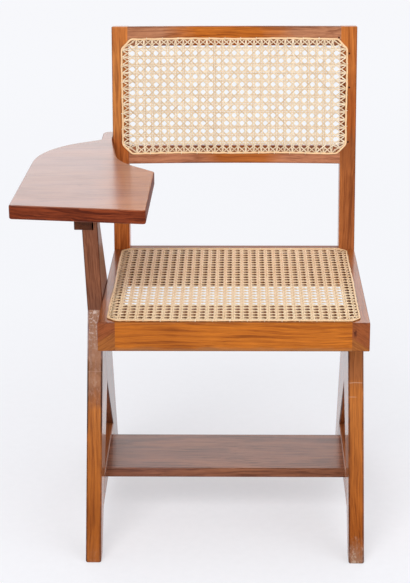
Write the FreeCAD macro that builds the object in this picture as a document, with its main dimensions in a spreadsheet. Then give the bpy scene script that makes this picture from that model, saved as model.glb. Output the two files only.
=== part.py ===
import FreeCAD, Part
import math
import os
import re
import Sketcher

# Writing chair: a caned seat and a caned back on two V-shaped leg frames, a book shelf between the
# frames and a fixed writing tablet on one side. Millimetres and degrees, +Z up. The sitter faces -Y,
# and the origin lies on the floor in the middle of the chair's outer box.

# Driving dimensions. Setbacks are measured rearwards from the seat's front face, along the floor,
# and reaches sideways from the seat's side faces.
SIZES = {
    # Seat frame
    "seat_width": 460,
    "seat_depth": 432,
    "seat_height": 428,
    "seat_slope": 2.9,
    "rail_thickness": 30,
    "rail_height": 51,
    "rear_rail_thickness": 32,
    "rear_rail_height": 71,
    "rear_rail_lap": 6,
    "cross_rail_thickness": 24,
    "cross_rail_drop": 10,
    "cross_rail_setback": 100,
    # Back frame
    "back_rake": 9.5,
    "stile_width": 30,
    "stile_depth": 37,
    "stile_length": 423,
    "stile_drop": 71,
    "back_frame_height": 258,
    "back_top_rail_height": 36,
    "back_bottom_rail_height": 33,
    "back_bow": 13,
    # Leg frames
    "leg_thickness": 27,
    "foot_overhang": 58,
    "foot_length": 37,
    "rear_foot_setback": 380,
    "crotch_setback": 183,
    "crotch_height": 240,
    "join_height": 400,
    "elbow_setback": 245,
    "elbow_height": 417,
    "post_top_setback": 65,
    "post_top_length": 33,
    "right_leg_front": 104,
    "right_leg_rear": 258,
    "right_leg_inset": 3,
    "leg_edge_radius": 3.5,
    "foot_edge_share": 0.85,
    # Stretchers and shelf
    "stretcher_bottom": 65,
    "stretcher_height": 38,
    "shelf_setback": 109,
    "shelf_depth": 142,
    "shelf_thickness": 18,
    "shelf_drop": 2,
    # Writing tablet and its bearer
    "tablet_height": 617,
    "tablet_thickness": 25,
    "tablet_reach": 148,
    "tablet_front_setback": 57,
    "tablet_front_width": 232,
    "tablet_front_skew": 6.75,
    "tablet_inner_setback": 252,
    "tablet_inner_reach": 88.5,
    "tablet_corner_radius": 5,
    "tablet_edge_radius": 3,
    "neck_angle": 43,
    "neck_offset": 18,
    "neck_radius": 110,
    "neck_clearance": 1,
    "tongue_width": 21,
    "tongue_overhang": 10,
    "tongue_root_setback": 460,
    "tongue_corner_radius": 12,
    "shoulder_setback": 397,
    "shoulder_reach": 132,
    "shoulder_radius": 150,
    "bearer_width": 30,
    "bearer_height": 24,
    "bearer_setback": 72,
    "bearer_length": 258,
    "bearer_gap": 3,
    "ear_thickness": 7,
    # Cane, its binding and its pegs
    "cane_thickness": 1.6,
    "seat_cane_corner": 15.5,
    "back_cane_corner": 18.5,
    "peg_corner": 23,
    "seat_cane_side_margin": 14,
    "seat_cane_front_margin": 5.5,
    "seat_cane_rear_lap": 9,
    "back_cane_side_margin": 17,
    "back_cane_top_margin": 21,
    "back_cane_bottom_margin": 17.5,
    "cane_gap_share": 0.62,
    "seat_gaps_across": 16,
    "seat_gaps_deep": 16,
    "back_gaps_across": 20,
    "back_gaps_high": 9,
    "binding_width": 5,
    "binding_thickness": 1.4,
    "peg_diameter": 4.2,
    "peg_length": 14,
    "peg_pitch": 14.7,
    # Joinery
    "edge_radius": 2,
    "joint_clearance": 0.15,
    "tenon_length": 14,
    "tenon_thickness": 12,
    "tenon_shoulder": 7,
    "tenon_root": 10,
    "side_tenon_thickness": 9,
    "side_tenon_inset": 5,
    "side_tenon_length": 20,
    "dowel_diameter": 10,
    "dowel_length": 44,
    "shelf_dowel_diameter": 8,
    "shelf_dowel_length": 36,
    "shelf_dowel_margin": 30,
    "right_dowel_margin": 22,
    "bearer_dowel_diameter": 8,
    "bearer_dowel_length": 32,
    "screw_diameter": 5,
    "screw_head_diameter": 9,
    "screw_head_height": 3.5,
    "plug_diameter": 10,
    "plug_length": 5,
    "left_screw_setback": 165,
    "left_screw_spacing": 33,
    "left_screw_length": 40,
    "bearer_screw_length": 28,
    "bearer_screw_spacing": 80,
    "tongue_screw_length": 32,
    "tongue_screw_spacing": 16,
}

# Sizes that follow from the driving dimensions.
DERIVED = {
    "half_width": "seat_width / 2",
    "rail_inner": "half_width - rail_thickness",
    "stile_inner": "half_width - stile_width",
    "lean": "back_rake - seat_slope",
    "stile_y": "seat_depth * cos(seat_slope)",
    "stile_z": "seat_height - seat_depth * sin(seat_slope)",
    "rear_rail_y": "seat_depth - rear_rail_lap",
    "back_rail_depth": "stile_depth - back_bow",
    "back_bottom": "stile_length - back_frame_height",
    "back_bow_radius": "(stile_inner ^ 2 + back_bow ^ 2) / (2 * back_bow)",
    "back_reach": "stile_y + (stile_length - edge_radius) * sin(back_rake)"
                  " + (stile_depth - edge_radius) * cos(back_rake) + edge_radius",
    "rail_under": "seat_height - rail_height / cos(seat_slope)",
    "tablet_under": "tablet_height - tablet_thickness",
    "bearer_under": "tablet_under - bearer_height",
    "bearer_inner": "half_width + ear_thickness + bearer_gap",
    "post_slant": "(crotch_setback - post_top_setback) / (tablet_under - crotch_height)",
    "join_setback": "crotch_setback - post_slant * (join_height - crotch_height)",
    "joint_angle": "atan(post_slant) / 1deg",
    "front_leg_slant": "(crotch_setback + foot_overhang - foot_length) / crotch_height",
    "rear_leg_slant": "(rear_foot_setback - crotch_setback) / crotch_height",
    "foot_angle": "atan((rail_under - right_leg_front * tan(seat_slope))"
                  " / (right_leg_front + foot_overhang)) / 1deg",
    "foot_pull": "leg_edge_radius * foot_edge_share * (1 / tan(foot_angle / 2) - 1)",
    "stretcher_top": "stretcher_bottom + stretcher_height",
    "shelf_top": "stretcher_top - shelf_drop",
    "right_leg_x": "half_width - right_leg_inset - leg_thickness",
    "left_leg_x": "-half_width - leg_thickness",
    "tablet_outer_tilt": "atan((tablet_reach - shoulder_reach)"
                         " / (shoulder_setback - tablet_front_setback)) / 1deg",
    "tablet_corner_pull": "tablet_corner_radius * ((sin(tablet_outer_tilt) + cos(tablet_front_skew))"
                          " / cos(tablet_outer_tilt - tablet_front_skew) - 1)",
    "tablet_middle": "tablet_height - tablet_thickness / 2",
    "tablet_stile_y": "stile_y + (tablet_middle - stile_z) * tan(back_rake)",
    "neck_end": "stile_y + (tablet_under - stile_z) * tan(back_rake) - neck_clearance",
    "tongue_end": "stile_y + (tablet_height - stile_z) * tan(back_rake)"
                  " + stile_depth / cos(back_rake) + tongue_overhang",
    "seat_cane_side": "half_width - seat_cane_side_margin",
    "seat_cane_rear": "rear_rail_y + seat_cane_rear_lap",
    "back_cane_side": "half_width - back_cane_side_margin",
    "back_cane_top": "stile_length - back_cane_top_margin",
    "back_cane_bottom": "back_bottom + back_cane_bottom_margin",
    "origin_x": "(tablet_corner_pull - tablet_reach) / 2",
    "origin_y": "(back_reach + foot_pull - foot_overhang) / 2",
}

# Frames the pieces are drawn in: turn about X, then where the frame's own origin lies (Y, Z).
FRAMES = {
    "floor": ("0", "0", "0"),
    "seat": ("-seat_slope", "0", "seat_height"),
    "back": ("-back_rake", "stile_y", "stile_z"),
}

X_AXIS = FreeCAD.Vector(1, 0, 0)
Y_AXIS = FreeCAD.Vector(0, 1, 0)
Z_AXIS = FreeCAD.Vector(0, 0, 1)
WORD = re.compile(r"[a-z][a-z_]*")
NEAR = 0.01

doc = FreeCAD.newDocument("WritingChair")
sheet = doc.addObject("Spreadsheet::Sheet", "Sizes")
for row, (alias, size) in enumerate(SIZES.items(), start=1):
    sheet.set(f"A{row}", alias)
    sheet.set(f"B{row}", str(size))
    sheet.setAlias(f"B{row}", alias)
doc.recompute()

subparts = []


# Formulas

def formula(text):
    """Write a formula out in the sheet's cells: derived sizes become their own formulas."""
    def spell(match):
        word = match.group()
        if word in SIZES:
            return "Sizes." + word
        if word in DERIVED:
            return "(" + formula(DERIVED[word]) + ")"
        return word
    return WORD.sub(spell, text)


def value(text):
    """The number that a formula gives now."""
    return float(sheet.evalExpression(formula(text)))


def bind(target, name, text):
    """Tie a property to the sheet."""
    target.setExpression(name, formula(text))


def place(piece, frame, x="0", y="0", z="0", turn="0", axis=X_AXIS):
    """Put a piece at a point of a frame, turned with the frame or about an axis of its own."""
    angle, base_y, base_z = FRAMES[frame]
    total = f"({angle}) + ({turn})" if axis == X_AXIS else turn
    piece.Placement = FreeCAD.Placement(FreeCAD.Vector(), FreeCAD.Rotation(axis, 1))
    bind(piece, "Placement.Base.x", f"({x}) - origin_x")
    bind(piece, "Placement.Base.y", f"{base_y} + ({y}) * cos({angle}) - ({z}) * sin({angle}) - origin_y")
    bind(piece, "Placement.Base.z", f"{base_z} + ({y}) * sin({angle}) + ({z}) * cos({angle})")
    bind(piece, "Placement.Rotation.Angle", total)


# Sketches and solids

def draw_outline(sketch, points):
    """Draw a closed outline through (x, y) formulas.

    A third and fourth value bend the edge that starts there into an arc: its radius, and the
    side of the way along it, left or right, that it bulges to.
    """
    first = sketch.GeometryCount
    count = len(points)
    spots = [FreeCAD.Vector(value(point[0]), value(point[1]), 0) for point in points]
    starts = []
    ends = []
    for index, point in enumerate(points):
        here = spots[index]
        there = spots[(index + 1) % count]
        if len(point) == 2:
            sketch.addGeometry(Part.LineSegment(here, there))
            starts.append(1)
            ends.append(2)
            continue
        radius = value(point[2])
        chord = there - here
        left = FreeCAD.Vector(-chord.y, chord.x, 0).normalize()
        reach = math.sqrt(radius ** 2 - chord.Length ** 2 / 4)
        side = -1 if point[3] == "left" else 1
        centre = (here + there) * 0.5 + left * reach * side
        begin, finish = (here, there) if side == 1 else (there, here)
        angles = [math.atan2(spot.y - centre.y, spot.x - centre.x) for spot in (begin, finish)]
        sketch.addGeometry(Part.ArcOfCircle(Part.Circle(centre, Z_AXIS, radius), *angles))
        starts.append(1 if side == 1 else 2)
        ends.append(2 if side == 1 else 1)
        bend = sketch.addConstraint(Sketcher.Constraint("Radius", first + index, radius))
        bind(sketch, f"Constraints[{bend}]", point[2])
    for index, point in enumerate(points):
        after = (index + 1) % count
        sketch.addConstraint(
            Sketcher.Constraint("Coincident", first + index, ends[index], first + after, starts[after]))
        for kind, text in (("DistanceX", point[0]), ("DistanceY", point[1])):
            held = Sketcher.Constraint(kind, -1, 1, first + index, starts[index], value(text))
            bind(sketch, f"Constraints[{sketch.addConstraint(held)}]", text)


def pad_outline(name, frame, role, outlines, start, length):
    """A body padded from outlines on one of its origin planes, from start, by length.

    On YZ_Plane the pad runs along +X, on XY_Plane along +Z and on XZ_Plane along +Y.
    """
    body = doc.addObject("PartDesign::Body", name + "_blank")
    sketch = body.newObject("Sketcher::SketchObject", name + "_outline")
    plane = next(item for item in body.Origin.OriginFeatures if item.Role == role)
    sketch.AttachmentSupport = [(plane, "")]
    sketch.MapMode = "FlatFace"
    backward = role == "XZ_Plane"
    bind(sketch, "AttachmentOffset.Base.z", f"-({start})" if backward else start)
    for points in outlines:
        draw_outline(sketch, points)
    pad = body.newObject("PartDesign::Pad", name + "_pad")
    pad.Profile = sketch
    pad.Reversed = backward
    bind(pad, "Length", length)
    place(body, frame)
    doc.recompute()
    return body


def soften(body, radius, chosen):
    """Round the edges of the body that the test picks by their middle point and direction."""
    base = body.Tip
    names = []
    for index, edge in enumerate(base.Shape.Edges, start=1):
        halfway = (edge.FirstParameter + edge.LastParameter) / 2
        if chosen(edge.valueAt(halfway), edge.tangentAt(halfway)):
            names.append(f"Edge{index}")
    rounding = body.newObject("PartDesign::Fillet", f"{body.Name}_round_{radius}")
    rounding.Base = (base, names)
    bind(rounding, "Radius", radius)
    doc.recompute()


def same(first, second):
    return abs(first - second) < NEAR


def rectangle(x0, y0, x1, y1):
    return [(x0, y0), (x1, y0), (x1, y1), (x0, y1)]


def octagon(x0, y0, x1, y1, corner, inset="0"):
    """A rectangle with cut corners, drawn in by an inset on every side."""
    cut = f"{corner} - ({inset}) * (2 - sqrt(2))"
    left, right = f"({x0}) + ({inset})", f"({x1}) - ({inset})"
    low, high = f"({y0}) + ({inset})", f"({y1}) - ({inset})"
    return [
        (f"{left} + {cut}", low), (f"{right} - ({cut})", low),
        (right, f"{low} + {cut}"), (right, f"{high} - ({cut})"),
        (f"{right} - ({cut})", high), (f"{left} + {cut}", high),
        (left, f"{high} - ({cut})"), (left, f"{low} + {cut}"),
    ]


def block(name, frame, corner, sizes):
    """A box from a corner of a frame."""
    piece = doc.addObject("Part::Box", name)
    for side, size in zip(("Length", "Width", "Height"), sizes):
        bind(piece, side, size)
    place(piece, frame, *corner)
    return piece


def tenon(name, frame, corner, sizes):
    """A tenon, and the mortise that takes it with the joint's clearance all round."""
    grown_corner = [f"{at} - joint_clearance" for at in corner]
    grown_sizes = [f"{size} + 2 * joint_clearance" for size in sizes]
    return block(name, frame, corner, sizes), block(name + "_mortise", frame, grown_corner, grown_sizes)


def tenon_pair(name, frame, inner, y, z, height):
    """Tenons on both ends of a rail between two faces at -inner and +inner."""
    length = "tenon_length + tenon_root"
    low = f"{z} + tenon_shoulder"
    sizes = (length, "tenon_thickness", f"{height} - 2 * tenon_shoulder")
    left = tenon(name + "_left_tenon", frame, (f"-{inner} - tenon_length", y, low), sizes)
    right = tenon(name + "_right_tenon", frame, (f"{inner} - tenon_root", y, low), sizes)
    return left, right


def slanting(angle):
    """A direction in the YZ plane, at an angle above +Y."""
    return {"step": ("0", f"cos({angle})", f"sin({angle})"), "turn": f"({angle}) - 90", "axis": X_AXIS}


REARWARD = slanting("0")
UPWARD = slanting("90")
RIGHTWARD = {"step": ("1", "0", "0"), "turn": "90", "axis": Y_AXIS}
LEFTWARD = {"step": ("-1", "0", "0"), "turn": "-90", "axis": Y_AXIS}


def rod(name, frame, point, direction, start, length, diameter):
    """A cylinder along a direction, from start past the point, by length."""
    piece = doc.addObject("Part::Cylinder", name)
    bind(piece, "Radius", f"({diameter}) / 2")
    bind(piece, "Height", length)
    base = [f"{at} + ({start}) * ({step})" for at, step in zip(point, direction["step"])]
    place(piece, frame, *base, turn=direction["turn"], axis=direction["axis"])
    return piece


def dowel(name, frame, point, direction, diameter, length):
    """A dowel centred on a point, and the hole that takes it."""
    pin = rod(name, frame, point, direction, f"-({length}) / 2", length, diameter)
    hole = rod(name + "_hole", frame, point, direction, f"-({length}) / 2 - joint_clearance",
               f"{length} + 2 * joint_clearance", f"{diameter} + 2 * joint_clearance")
    return pin, hole


def gather(name, kind, links, pieces):
    """A boolean or a group over several pieces."""
    result = doc.addObject(kind, name)
    setattr(result, links, list(pieces))
    return result


def screw(name, frame, point, direction, length):
    """A screw sunk below the surface, the plug over its head and the stepped hole for both."""
    head_end = "plug_length + screw_head_height"
    head = rod(name + "_head", frame, point, direction, "plug_length", "screw_head_height",
               "screw_head_diameter")
    shank = rod(name + "_shank", frame, point, direction, "plug_length", f"screw_head_height + {length}",
                "screw_diameter")
    plug = rod(name + "_plug", frame, point, direction, "0", "plug_length", "plug_diameter")
    mouth = rod(name + "_mouth", frame, point, direction, "0", f"{head_end} + joint_clearance",
                "plug_diameter + 2 * joint_clearance")
    bore = rod(name + "_bore", frame, point, direction, "0", f"{head_end} + {length} + joint_clearance",
               "screw_diameter + 2 * joint_clearance")
    return (gather(name, "Part::MultiFuse", "Shapes", [head, shank]), plug,
            gather(name + "_hole", "Part::MultiFuse", "Shapes", [mouth, bore]))


def finish(node, piece, adds=(), cuts=()):
    """The sub-part: its blank with the tenons added, less its mortises and holes."""
    if adds:
        piece = gather(node + "_tenoned", "Part::MultiFuse", "Shapes", [piece, *adds])
    if cuts:
        cut = doc.addObject("Part::Cut", node + "_cut")
        cut.Base = piece
        cut.Tool = gather(node + "_tools", "Part::Compound", "Links", cuts)
        piece = cut
    piece.Label = node
    subparts.append(piece)


def finish_group(node, pieces):
    """Identical fasteners in one sub-part, each its own solid."""
    finish(node, gather(node + "_group", "Part::Compound", "Links", pieces))


def free_form(name, shape, frame):
    """A shape worked out from the sheet's values, drawn in a frame."""
    piece = doc.addObject("Part::Feature", name)
    piece.Shape = shape
    place(piece, frame)
    return piece


# Cane: a net of gaps over each opening, a binding strip and a row of pegs under the strip

def net(outline, opening, across, along):
    """A flat face on XY with its cut-cornered outline and a grid of four-sided gaps in the opening."""
    def ring(points):
        spots = [FreeCAD.Vector(x, y, 0) for x, y in points]
        return Part.makePolygon(spots + spots[:1])
    x0, y0, x1, y1 = [value(text) for text in opening]
    step_x = (x1 - x0) / across
    step_y = (y1 - y0) / along
    half_x = step_x * value("cane_gap_share") / 2
    half_y = step_y * value("cane_gap_share") / 2
    corners = [(-half_x, -half_y), (half_x, -half_y), (half_x, half_y), (-half_x, half_y)]
    wires = [ring([(value(x), value(y)) for x, y in outline])]
    for column in range(across):
        for line in range(along):
            x = x0 + step_x * (column + 0.5)
            y = y0 + step_y * (line + 0.5)
            wires.append(ring([(x + right, y + up) for right, up in corners]))
    return Part.makeFace(wires, "Part::FaceMakerBullseye")


def row_of(length):
    """Places of a row of pegs at their pitch, centred on zero."""
    pitch = value("peg_pitch")
    count = math.floor(value(length) / pitch) + 1
    return [(index - (count - 1) / 2) * pitch for index in range(count)]


def peg_group(places, direction, grow):
    """Pegs driven in at their places, made larger by grow on every side for the holes."""
    radius = value("peg_diameter") / 2 + grow
    length = value("peg_length") + grow
    return Part.makeCompound([Part.makeCylinder(radius, length, spot, direction) for spot in places])


def seat_peg_rows():
    """Peg places on the seat frame's top, by rail."""
    inset = value("binding_width / 2")
    side = value("seat_cane_side") - inset
    front = value("seat_cane_front_margin") + inset
    rear = value("seat_cane_rear") - inset
    across = row_of("2 * (seat_cane_side - peg_corner)")
    deep = row_of("seat_cane_rear - seat_cane_front_margin - 2 * peg_corner")
    middle = (front + rear) / 2
    return {
        "front": [FreeCAD.Vector(x, front, 0) for x in across],
        "rear": [FreeCAD.Vector(x, rear, 0) for x in across],
        "left": [FreeCAD.Vector(-side, middle + y, 0) for y in deep],
        "right": [FreeCAD.Vector(side, middle + y, 0) for y in deep],
    }


def back_peg_rows():
    """Peg places on the back frame's front face, by rail and stile; the rails' face is bowed."""
    inset = value("binding_width / 2")
    side = value("back_cane_side") - inset
    top = value("back_cane_top") - inset
    bottom = value("back_cane_bottom") + inset
    radius = value("back_bow_radius")
    bow = value("back_bow")
    across = row_of("2 * (back_cane_side - peg_corner)")
    high = row_of("back_cane_top - back_cane_bottom - 2 * peg_corner")
    middle = (top + bottom) / 2
    bowed = [(x, bow - radius + math.sqrt(radius ** 2 - x ** 2)) for x in across]
    return {
        "top": [FreeCAD.Vector(x, y, top) for x, y in bowed],
        "bottom": [FreeCAD.Vector(x, y, bottom) for x, y in bowed],
        "left": [FreeCAD.Vector(-side, 0, middle + z) for z in high],
        "right": [FreeCAD.Vector(side, 0, middle + z) for z in high],
    }


def pegs_and_holes(name, rows, direction, frame):
    """One group of pegs, and for each rail the holes they sit in."""
    places = [spot for row in rows.values() for spot in row]
    pegs = free_form(name, peg_group(places, direction, 0), frame)
    clearance = value("joint_clearance")
    holes = {}
    for rail, row in rows.items():
        holes[rail] = free_form(f"{name}_{rail}_holes", peg_group(row, direction, clearance), frame)
    return pegs, holes


seat_pegs, seat_peg_holes = pegs_and_holes("seat_pegs", seat_peg_rows(), -Z_AXIS, "seat")
back_pegs, back_peg_holes = pegs_and_holes("back_pegs", back_peg_rows(), Y_AXIS, "back")
finish("seat_cane_pegs", seat_pegs)
finish("back_cane_pegs", back_pegs)

seat_cane_bounds = ("-seat_cane_side", "seat_cane_front_margin", "seat_cane_side", "seat_cane_rear")
seat_net = net(octagon(*seat_cane_bounds, "seat_cane_corner"),
               ("-rail_inner", "rail_thickness", "rail_inner", "rear_rail_y"),
               int(value("seat_gaps_across")), int(value("seat_gaps_deep")))
finish("seat_cane", free_form("seat_net", seat_net.extrude(Z_AXIS * value("cane_thickness")), "seat"))
finish("seat_cane_binding", pad_outline(
    "seat_cane_binding", "seat", "XY_Plane",
    [octagon(*seat_cane_bounds, "seat_cane_corner"),
     octagon(*seat_cane_bounds, "seat_cane_corner", "binding_width")],
    "cane_thickness", "binding_thickness"))


def bowed_section(reach, front, depth):
    """A strip across the back: flat on the stiles out to reach, bowed between them."""
    rear = f"{front} + {depth}"
    points = [(f"-{reach}", front)] if reach != "stile_inner" else []
    points.append(("-stile_inner", front, "back_bow_radius", "left"))
    points.append(("stile_inner", front))
    if reach != "stile_inner":
        points += [(reach, front), (reach, rear)]
    points.append(("stile_inner", rear, "back_bow_radius", "right"))
    points.append(("-stile_inner", rear))
    if reach != "stile_inner":
        points.append((f"-{reach}", rear))
    return points


def bowed_sheet(name, front, depth):
    """A bowed sheet as tall as the back's cane."""
    return pad_outline(name, "back", "XY_Plane", [bowed_section("back_cane_side", front, depth)],
                       "back_cane_bottom", "back_cane_top - back_cane_bottom")


def common(node, base, tool):
    shared = doc.addObject("Part::Common", node + "_common")
    shared.Base = base
    shared.Tool = tool
    finish(node, shared)


back_cane_bounds = ("-back_cane_side", "back_cane_bottom", "back_cane_side", "back_cane_top")
back_net = net(octagon(*back_cane_bounds, "back_cane_corner"),
               ("-stile_inner", "back_bottom + back_bottom_rail_height",
                "stile_inner", "stile_length - back_top_rail_height"),
               int(value("back_gaps_across")), int(value("back_gaps_high")))
back_net.rotate(FreeCAD.Vector(), X_AXIS, 90)
back_net.translate(Y_AXIS * -value("cane_thickness"))
back_net_prism = back_net.extrude(Y_AXIS * (value("cane_thickness") + value("back_bow")))
common("back_cane", free_form("back_net", back_net_prism, "back"),
       bowed_sheet("back_cane_sheet", "-cane_thickness", "cane_thickness"))
common("back_cane_binding",
       pad_outline("back_cane_binding", "back", "XZ_Plane",
                   [octagon(*back_cane_bounds, "back_cane_corner"),
                    octagon(*back_cane_bounds, "back_cane_corner", "binding_width")],
                   "-cane_thickness - binding_thickness", "cane_thickness + binding_thickness + back_bow"),
       bowed_sheet("back_binding_sheet", "-cane_thickness - binding_thickness", "binding_thickness"))


# Seat frame: the side rails run through to the front, the other rails are tenoned between

def seat_rail(name, y, thickness, low, high, inner):
    """A rail across the seat, between faces at -inner and +inner."""
    return pad_outline(name, "seat", "YZ_Plane", [rectangle(y, low, f"{y} + {thickness}", high)],
                       f"-{inner}", f"2 * ({inner})")


front_rail = seat_rail("seat_front_rail", "0", "rail_thickness", "-rail_height", "0", "rail_inner")
soften(front_rail, "edge_radius", lambda middle, way: same(middle.y, 0) and same(abs(way.x), 1))
front_tenons = tenon_pair("seat_front_rail", "seat", "rail_inner",
                          "(rail_thickness - tenon_thickness) / 2", "-rail_height", "rail_height")
finish("seat_front_rail", front_rail, [pair[0] for pair in front_tenons], [seat_peg_holes["front"]])

rear_rail = seat_rail("seat_rear_rail", "rear_rail_y", "rear_rail_thickness",
                      "-rear_rail_height", "0", "stile_inner")
rear_tenons = tenon_pair("seat_rear_rail", "seat", "stile_inner",
                         "rear_rail_y + (rear_rail_thickness - tenon_thickness) / 2",
                         "-rear_rail_height", "rear_rail_height")
finish("seat_rear_rail", rear_rail, [pair[0] for pair in rear_tenons], [seat_peg_holes["rear"]])

cross_rail = seat_rail("seat_cross_rail", "cross_rail_setback", "cross_rail_thickness",
                       "-rail_height", "-cross_rail_drop", "rail_inner")
cross_tenons = tenon_pair("seat_cross_rail", "seat", "rail_inner",
                          "cross_rail_setback + (cross_rail_thickness - tenon_thickness) / 2",
                          "-rail_height", "rail_height - cross_rail_drop")
finish("seat_cross_rail", cross_rail, [pair[0] for pair in cross_tenons])

# Screws through the left rail into the long leg, with their plugs on the rail's inner face
left_screws = []
for index in range(3):
    spot = ("-rail_inner", f"left_screw_setback + {index} * left_screw_spacing", "-rail_height / 2")
    left_screws.append(screw(f"left_frame_screw_{index}", "seat", spot, LEFTWARD, "left_screw_length"))
finish_group("left_frame_screws", [item[0] for item in left_screws])
finish_group("left_frame_plugs", [item[1] for item in left_screws])
left_screw_holes = [item[2] for item in left_screws]

# Dowels between the right legs' tops and the right rail's underside
right_dowels = []
for name, spot in (
        ("front_toe", "right_leg_front + right_dowel_margin"),
        ("front_heel", "crotch_setback - right_dowel_margin"),
        ("rear_toe", "crotch_setback + right_dowel_margin"),
        ("rear_heel", "right_leg_rear - right_dowel_margin")):
    point = ("right_leg_x + leg_thickness / 2", spot, "-rail_height")
    right_dowels.append(dowel(f"right_frame_dowel_{name}", "seat", point, UPWARD,
                              "dowel_diameter", "dowel_length"))
finish_group("right_frame_dowels", [item[0] for item in right_dowels])
right_dowel_holes = [item[1] for item in right_dowels]

side_tenons = {}
for side, outer, inner, tenon_x in (
        ("left", "-half_width", "-half_width", "side_tenon_inset - half_width"),
        ("right", "half_width", "rail_inner", "half_width - side_tenon_inset - side_tenon_thickness")):
    node = f"seat_{side}_rail"
    rail = pad_outline(node, "seat", "YZ_Plane",
                       [[("0", "-rail_height"), ("seat_depth - rail_height * tan(lean)", "-rail_height"),
                         ("seat_depth", "0"), ("0", "0")]],
                       inner, "rail_thickness")
    outer_x = value(outer)
    soften(rail, "edge_radius", lambda middle, way: (
        same(middle.x, outer_x) and middle.y < value("seat_depth - rail_height")
        or same(middle.y, 0) and same(abs(way.x), 1)))
    side_tenons[side] = tenon(f"{node}_tenon", "seat",
                              (tenon_x, "seat_depth - rail_height * tan(lean) - tenon_root",
                               "tenon_shoulder - rail_height"),
                              ("side_tenon_thickness", "side_tenon_length + tenon_root",
                               "rail_height - 2 * tenon_shoulder"))
    end = 0 if side == "left" else 1
    fastenings = left_screw_holes if side == "left" else right_dowel_holes
    finish(node, rail, [side_tenons[side][0]],
           [front_tenons[end][1], cross_tenons[end][1], seat_peg_holes[side], *fastenings])


# Back frame: straight stiles, and two bowed rails tenoned between them

back_tenons = {}
for name, low, height in (
        ("top", "stile_length - back_top_rail_height", "back_top_rail_height"),
        ("bottom", "back_bottom", "back_bottom_rail_height")):
    node = f"back_{name}_rail"
    rail = pad_outline(node, "back", "XY_Plane", [bowed_section("stile_inner", "0", "back_rail_depth")],
                       low, height)
    soften(rail, "edge_radius", lambda middle, way: same(middle.x, 0))
    back_tenons[name] = tenon_pair(node, "back", "stile_inner", "(back_rail_depth - tenon_thickness) / 2",
                                   low, height)
    finish(node, rail, [pair[0] for pair in back_tenons[name]], [back_peg_holes[name]])

# Screws through the tablet's tongue into the left stile, with their plugs on the tongue's outer face
tongue_screws = []
for index in range(2):
    spot = ("-half_width - tongue_width",
            "tablet_stile_y + (stile_depth / cos(back_rake)) / 2"
            f" + ({index} - 0.5) * tongue_screw_spacing", "tablet_middle")
    tongue_screws.append(screw(f"tongue_screw_{index}", "floor", spot, RIGHTWARD, "tongue_screw_length"))
finish_group("tongue_screws", [item[0] for item in tongue_screws])
finish_group("tongue_plugs", [item[1] for item in tongue_screws])
tongue_screw_holes = [item[2] for item in tongue_screws]

for side, inner, outer in (("left", "-half_width", "-half_width"), ("right", "stile_inner", "half_width")):
    node = f"back_{side}_stile"
    stile = pad_outline(node, "back", "XY_Plane",
                        [rectangle(inner, "0", f"{inner} + stile_width", "stile_depth")],
                        "-stile_drop", "stile_length + stile_drop")
    outer_x = value(outer)
    top_z = value("stile_length")
    soften(stile, "edge_radius", lambda middle, way: (
        same(middle.x, outer_x) and (same(abs(way.z), 1) or same(middle.z, top_z))
        or same(middle.z, top_z) and same(abs(way.x), 1)))
    end = 0 if side == "left" else 1
    mortises = [side_tenons[side][1], rear_tenons[end][1], back_tenons["top"][end][1],
                back_tenons["bottom"][end][1], back_peg_holes[side]]
    finish(node, stile, cuts=mortises + (tongue_screw_holes if side == "left" else []))


# Leg frames: on each side a front leg and a rear leg meet in a V, with a stretcher across

def under(setback):
    """Height of the right rail's underside at a setback."""
    return f"rail_under - ({setback}) * tan(seat_slope)"


def clear_of(edges):
    """A test for the long edges of a leg that lie off its joints and its foot."""
    spots = [[(value(y), value(z)) for y, z in edge] for edge in edges]

    def test(middle, way):
        if same(abs(way.x), 1) or middle.z < NEAR:
            return False
        for (y0, z0), (y1, z1) in spots:
            away = (y1 - y0) * (middle.z - z0) - (z1 - z0) * (middle.y - y0)
            if abs(away) < math.hypot(y1 - y0, z1 - z0) * NEAR:
                return False
        return True
    return test


front_foot = [("-foot_overhang", "0"), ("foot_length - foot_overhang", "0")]
rear_foot = [("rear_foot_setback", "0"), ("rear_foot_setback + foot_length", "0")]
crotch = ("crotch_setback", "crotch_height")
join_top = ("join_setback", "join_height")
post_top = ("post_top_setback", "tablet_under")
right_front_top = ("right_leg_front", under("right_leg_front"))
right_middle_top = ("crotch_setback", under("crotch_setback"))
right_rear_top = ("right_leg_rear", under("right_leg_rear"))

# Each leg's place, outline, joints and rounding, which is smaller where a rounded edge runs into a joint
LEGS = {
    "left_front_leg": ("left_leg_x", [*front_foot, crotch, join_top], [(crotch, join_top)],
                       "leg_edge_radius"),
    "left_rear_leg": ("left_leg_x", [*rear_foot, ("elbow_setback", "elbow_height"),
                                     ("post_top_setback + post_top_length", "tablet_under"),
                                     post_top, crotch],
                      [(post_top, ("post_top_setback + post_top_length", "tablet_under"))],
                      "edge_radius"),
    "right_front_leg": ("right_leg_x", [*front_foot, crotch, right_middle_top, right_front_top],
                        [(crotch, right_middle_top), (right_middle_top, right_front_top)],
                        "leg_edge_radius"),
    "right_rear_leg": ("right_leg_x", [*rear_foot, right_rear_top, right_middle_top, crotch],
                       [(crotch, right_middle_top), (right_middle_top, right_rear_top)],
                       "leg_edge_radius"),
}

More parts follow.
